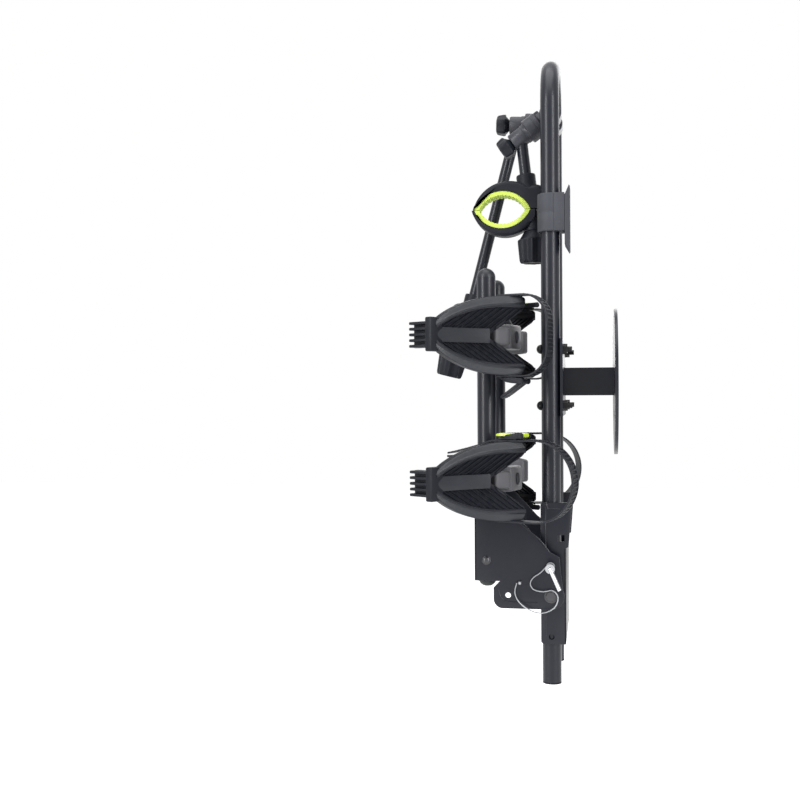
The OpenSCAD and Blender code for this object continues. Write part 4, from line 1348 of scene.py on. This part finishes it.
    def pad(self, way: int) -> None:
        """Builds one soft pad.

        Args:
            way: 1 for the upper jaw and -1 for the lower one.
        """
        face, inner = self.arc_r - 0.1, self.arc_r - self.pad_t
        cz = -way * self.arc_drop
        reach, wide, pitch = self.half_angle(face), self.half_angle(inner), 8.5
        back = arc_points(0, cz, face, way * (90 - reach), way * (90 + reach), 60)
        front: list[Point2] = []
        for k in range(111):
            a = 90 + wide - 2 * wide * k / 110
            phase = ((a - 90) / pitch + 0.5) % 1.0
            lump = 1.1 * (0.5 - 0.5 * math.cos(2 * math.pi * phase)) ** 3
            r = inner + lump if abs(a - 90) < 5.5 * pitch else inner
            front.append((r * math.cos(math.radians(a)), cz + way * r * math.sin(math.radians(a))))
        outline = (back + front)[::way]
        first = len(back) if way > 0 else 0
        last = first + len(front) - 1
        bm = bmesh.new()
        crowned_slab(bm, outline, self.jaw_w / 2 - 2, lambda k: 1.6 if first + 2 < k < last - 2 else 0.2, 6)
        where, body = ("upper", "_clamp") if way > 0 else ("lower", "_jaw")
        self.emit(bm, f"_{where}_lining", body, Slot.PAD, LIME_PAD, body + "_pad", self.clamp_space)

    def knob(self) -> None:
        """Builds the fluted knob on the clamp's screw."""
        bm = bmesh.new()
        fluted(bm, [(6, 0, 0), (13.4, 0, 0), (14, 0.8, 0), (20, 11, 0), (21.4, 12, 1.0), (23.4, 13.2, 3.2),
                    (24, 15, 3.9), (23.7, 20, 4.0), (21.2, 45, 3.4), (20.2, 48.4, 3.0), (18.4, 49.8, 2.4),
                    (14, 50, 1.0), (12.6, 49.2, 0), (5, 49, 0)], 8, 128, 0.7,
               to_axis((0, 0, -1), (self.screw_x, 0, -self.knob_z)))
        rod(bm, 4, 8, self.knob_z + 1, 24, to_axis((0, 0, -1), (self.screw_x, 0, 0)))
        self.emit(bm, "_hand_knob", "_clamp_knob", Slot.PLASTIC, PLASTIC, "_clamp_knob", self.clamp_space)

    def build(self) -> None:
        """Builds the arm from its head to its clamp's knob."""
        dress(self.name + "_arm_tube", Slot.TUBE, POWDER)
        self.head()
        self.head_knob()
        self.jaws()
        self.pad(1)
        self.pad(-1)
        self.knob()


# -------------------------------------------------------------------- studio


@dataclass
class Studio:
    """The camera, the lights and the pale surroundings."""

    camera_at: tuple[float, float, float] = (-0.03494, -1.7698, -0.0182)
    yaw_deg: float = 10.01
    roll_deg: float = -0.28
    lens_mm: float = 49.64
    floor_z: float = -0.68
    floor_glow: float = 0.62

    def backdrop(self) -> bpy.types.Material:
        """Returns the pale material, white to the camera and in reflections.

        Returns:
            The material, with its nodes.
        """
        mat = bpy.data.materials.new("pale_backdrop")
        mat.use_nodes = True
        tree = mat.node_tree
        shader = tree.nodes["Principled BSDF"]
        feed(shader, {"Base Color": (0.8, 0.8, 0.8, 1), "Roughness": 0.9})
        span = tree.nodes.new("ShaderNodeMath")
        span.operation = "MULTIPLY"
        feed(span, {0: self.seen(tree), 1: self.floor_glow})
        glow = add_node(tree, "Emission", Color=(1, 1, 1, 1), Strength=span.outputs[0])
        both = tree.nodes.new("ShaderNodeAddShader")
        feed(both, {0: shader.outputs["BSDF"], 1: glow.outputs["Emission"]})
        feed(tree.nodes["Material Output"], {"Surface": both.outputs["Shader"]})
        return mat

    @staticmethod
    def seen(tree: bpy.types.NodeTree) -> bpy.types.NodeSocket:
        """Returns 1 for camera, glossy and transmission rays.

        Args:
            tree: Node tree that gets the nodes.

        Returns:
            Socket of the value.
        """
        path = tree.nodes.new("ShaderNodeLightPath")
        value = path.outputs["Is Camera Ray"]
        for ray in ("Is Glossy Ray", "Is Transmission Ray"):
            more = tree.nodes.new("ShaderNodeMath")
            more.operation = "MAXIMUM"
            feed(more, {0: value, 1: path.outputs[ray]})
            value = more.outputs[0]
        return value

    def floor(self) -> None:
        """Adds the pale floor."""
        bm = bmesh.new()
        place = Matrix.Translation((0, 0, self.floor_z))
        bmesh.ops.create_grid(bm, x_segments=1, y_segments=1, size=6.0, matrix=place)
        obj = to_scene(bm, "studio_floor")
        obj.data.materials.append(self.backdrop())

    def world(self) -> None:
        """Sets the surroundings: white to the camera, softer as light."""
        world = bpy.data.worlds.new("studio_world")
        bpy.context.scene.world = world
        world.use_nodes = True
        tree = world.node_tree
        span = add_node(tree, "MapRange", Value=self.seen(tree), **{"To Min": 0.5, "To Max": 1.0})
        feed(tree.nodes["Background"], {"Color": (1, 1, 1, 1), "Strength": span.outputs["Result"]})

    def lamp(self, name: str, at: Sequence[float], size: Sequence[float], power: float) -> None:
        """Adds a soft rectangular lamp that faces the rack.

        Args:
            name: Name of the lamp.
            at: Its place, in metres.
            size: Width and height, in metres.
            power: Its power, in watts.
        """
        data = bpy.data.lights.new(name, "AREA")
        data.shape = "RECTANGLE"
        data.size, data.size_y = size
        data.energy = power
        obj = bpy.data.objects.new(name, data)
        aim = Vector((-0.1, 0, 0)) - Vector(at)
        obj.matrix_world = Matrix.Translation(Vector(at)) @ aim.to_track_quat("-Z", "Y").to_matrix().to_4x4()
        bpy.context.scene.collection.objects.link(obj)

    def build(self) -> None:
        """Sets up the whole studio."""
        bpy.context.scene.view_settings.view_transform = "Standard"
        data = bpy.data.cameras.new("photo_camera")
        data.lens = self.lens_mm
        data.sensor_width = 36.0
        cam = bpy.data.objects.new("photo_camera", data)
        cam.matrix_world = (
            Matrix.Translation(Vector(self.camera_at))
            @ spun(self.yaw_deg, "Z") @ spun(90, "X") @ spun(self.roll_deg, "Z")
        )
        bpy.context.scene.collection.objects.link(cam)
        bpy.context.scene.camera = cam
        self.floor()
        self.world()
        self.lamp("strip_left", (-1.5, -1.6, 0.6), (0.3, 2.2), 44)
        self.lamp("strip_right", (1.3, -1.5, 0.6), (0.3, 2.2), 40)
        self.lamp("overhead", (-0.2, -0.4, 2.0), (1.8, 1.8), 30)
        self.lamp("behind", (0.2, 1.8, 0.8), (1.6, 1.6), 16)


def main() -> None:
    """Builds the rack's looks, then the studio."""
    logging.basicConfig(level=logging.INFO, format="%(name)s: %(message)s")
    Mast().build()
    Platform().build()
    outer, inner = 388.7, 175.1
    for side in Side:
        near = side is Side.NEAR
        WheelHolder(side, "outer", outer, 104, -1, 35 if near else 0, False, not near).build()
        WheelHolder(side, "inner", inner, 140, 1, 0, near, True).build()
    ClampArm("long", 3, 14.6, 34, 294, 14, -1, 68.5).build()
    ClampArm("short", -35, -6.5, -34, 69, 0, 1, 72.5).build()
    Studio().build()


if __name__ == "__main__":
    main()
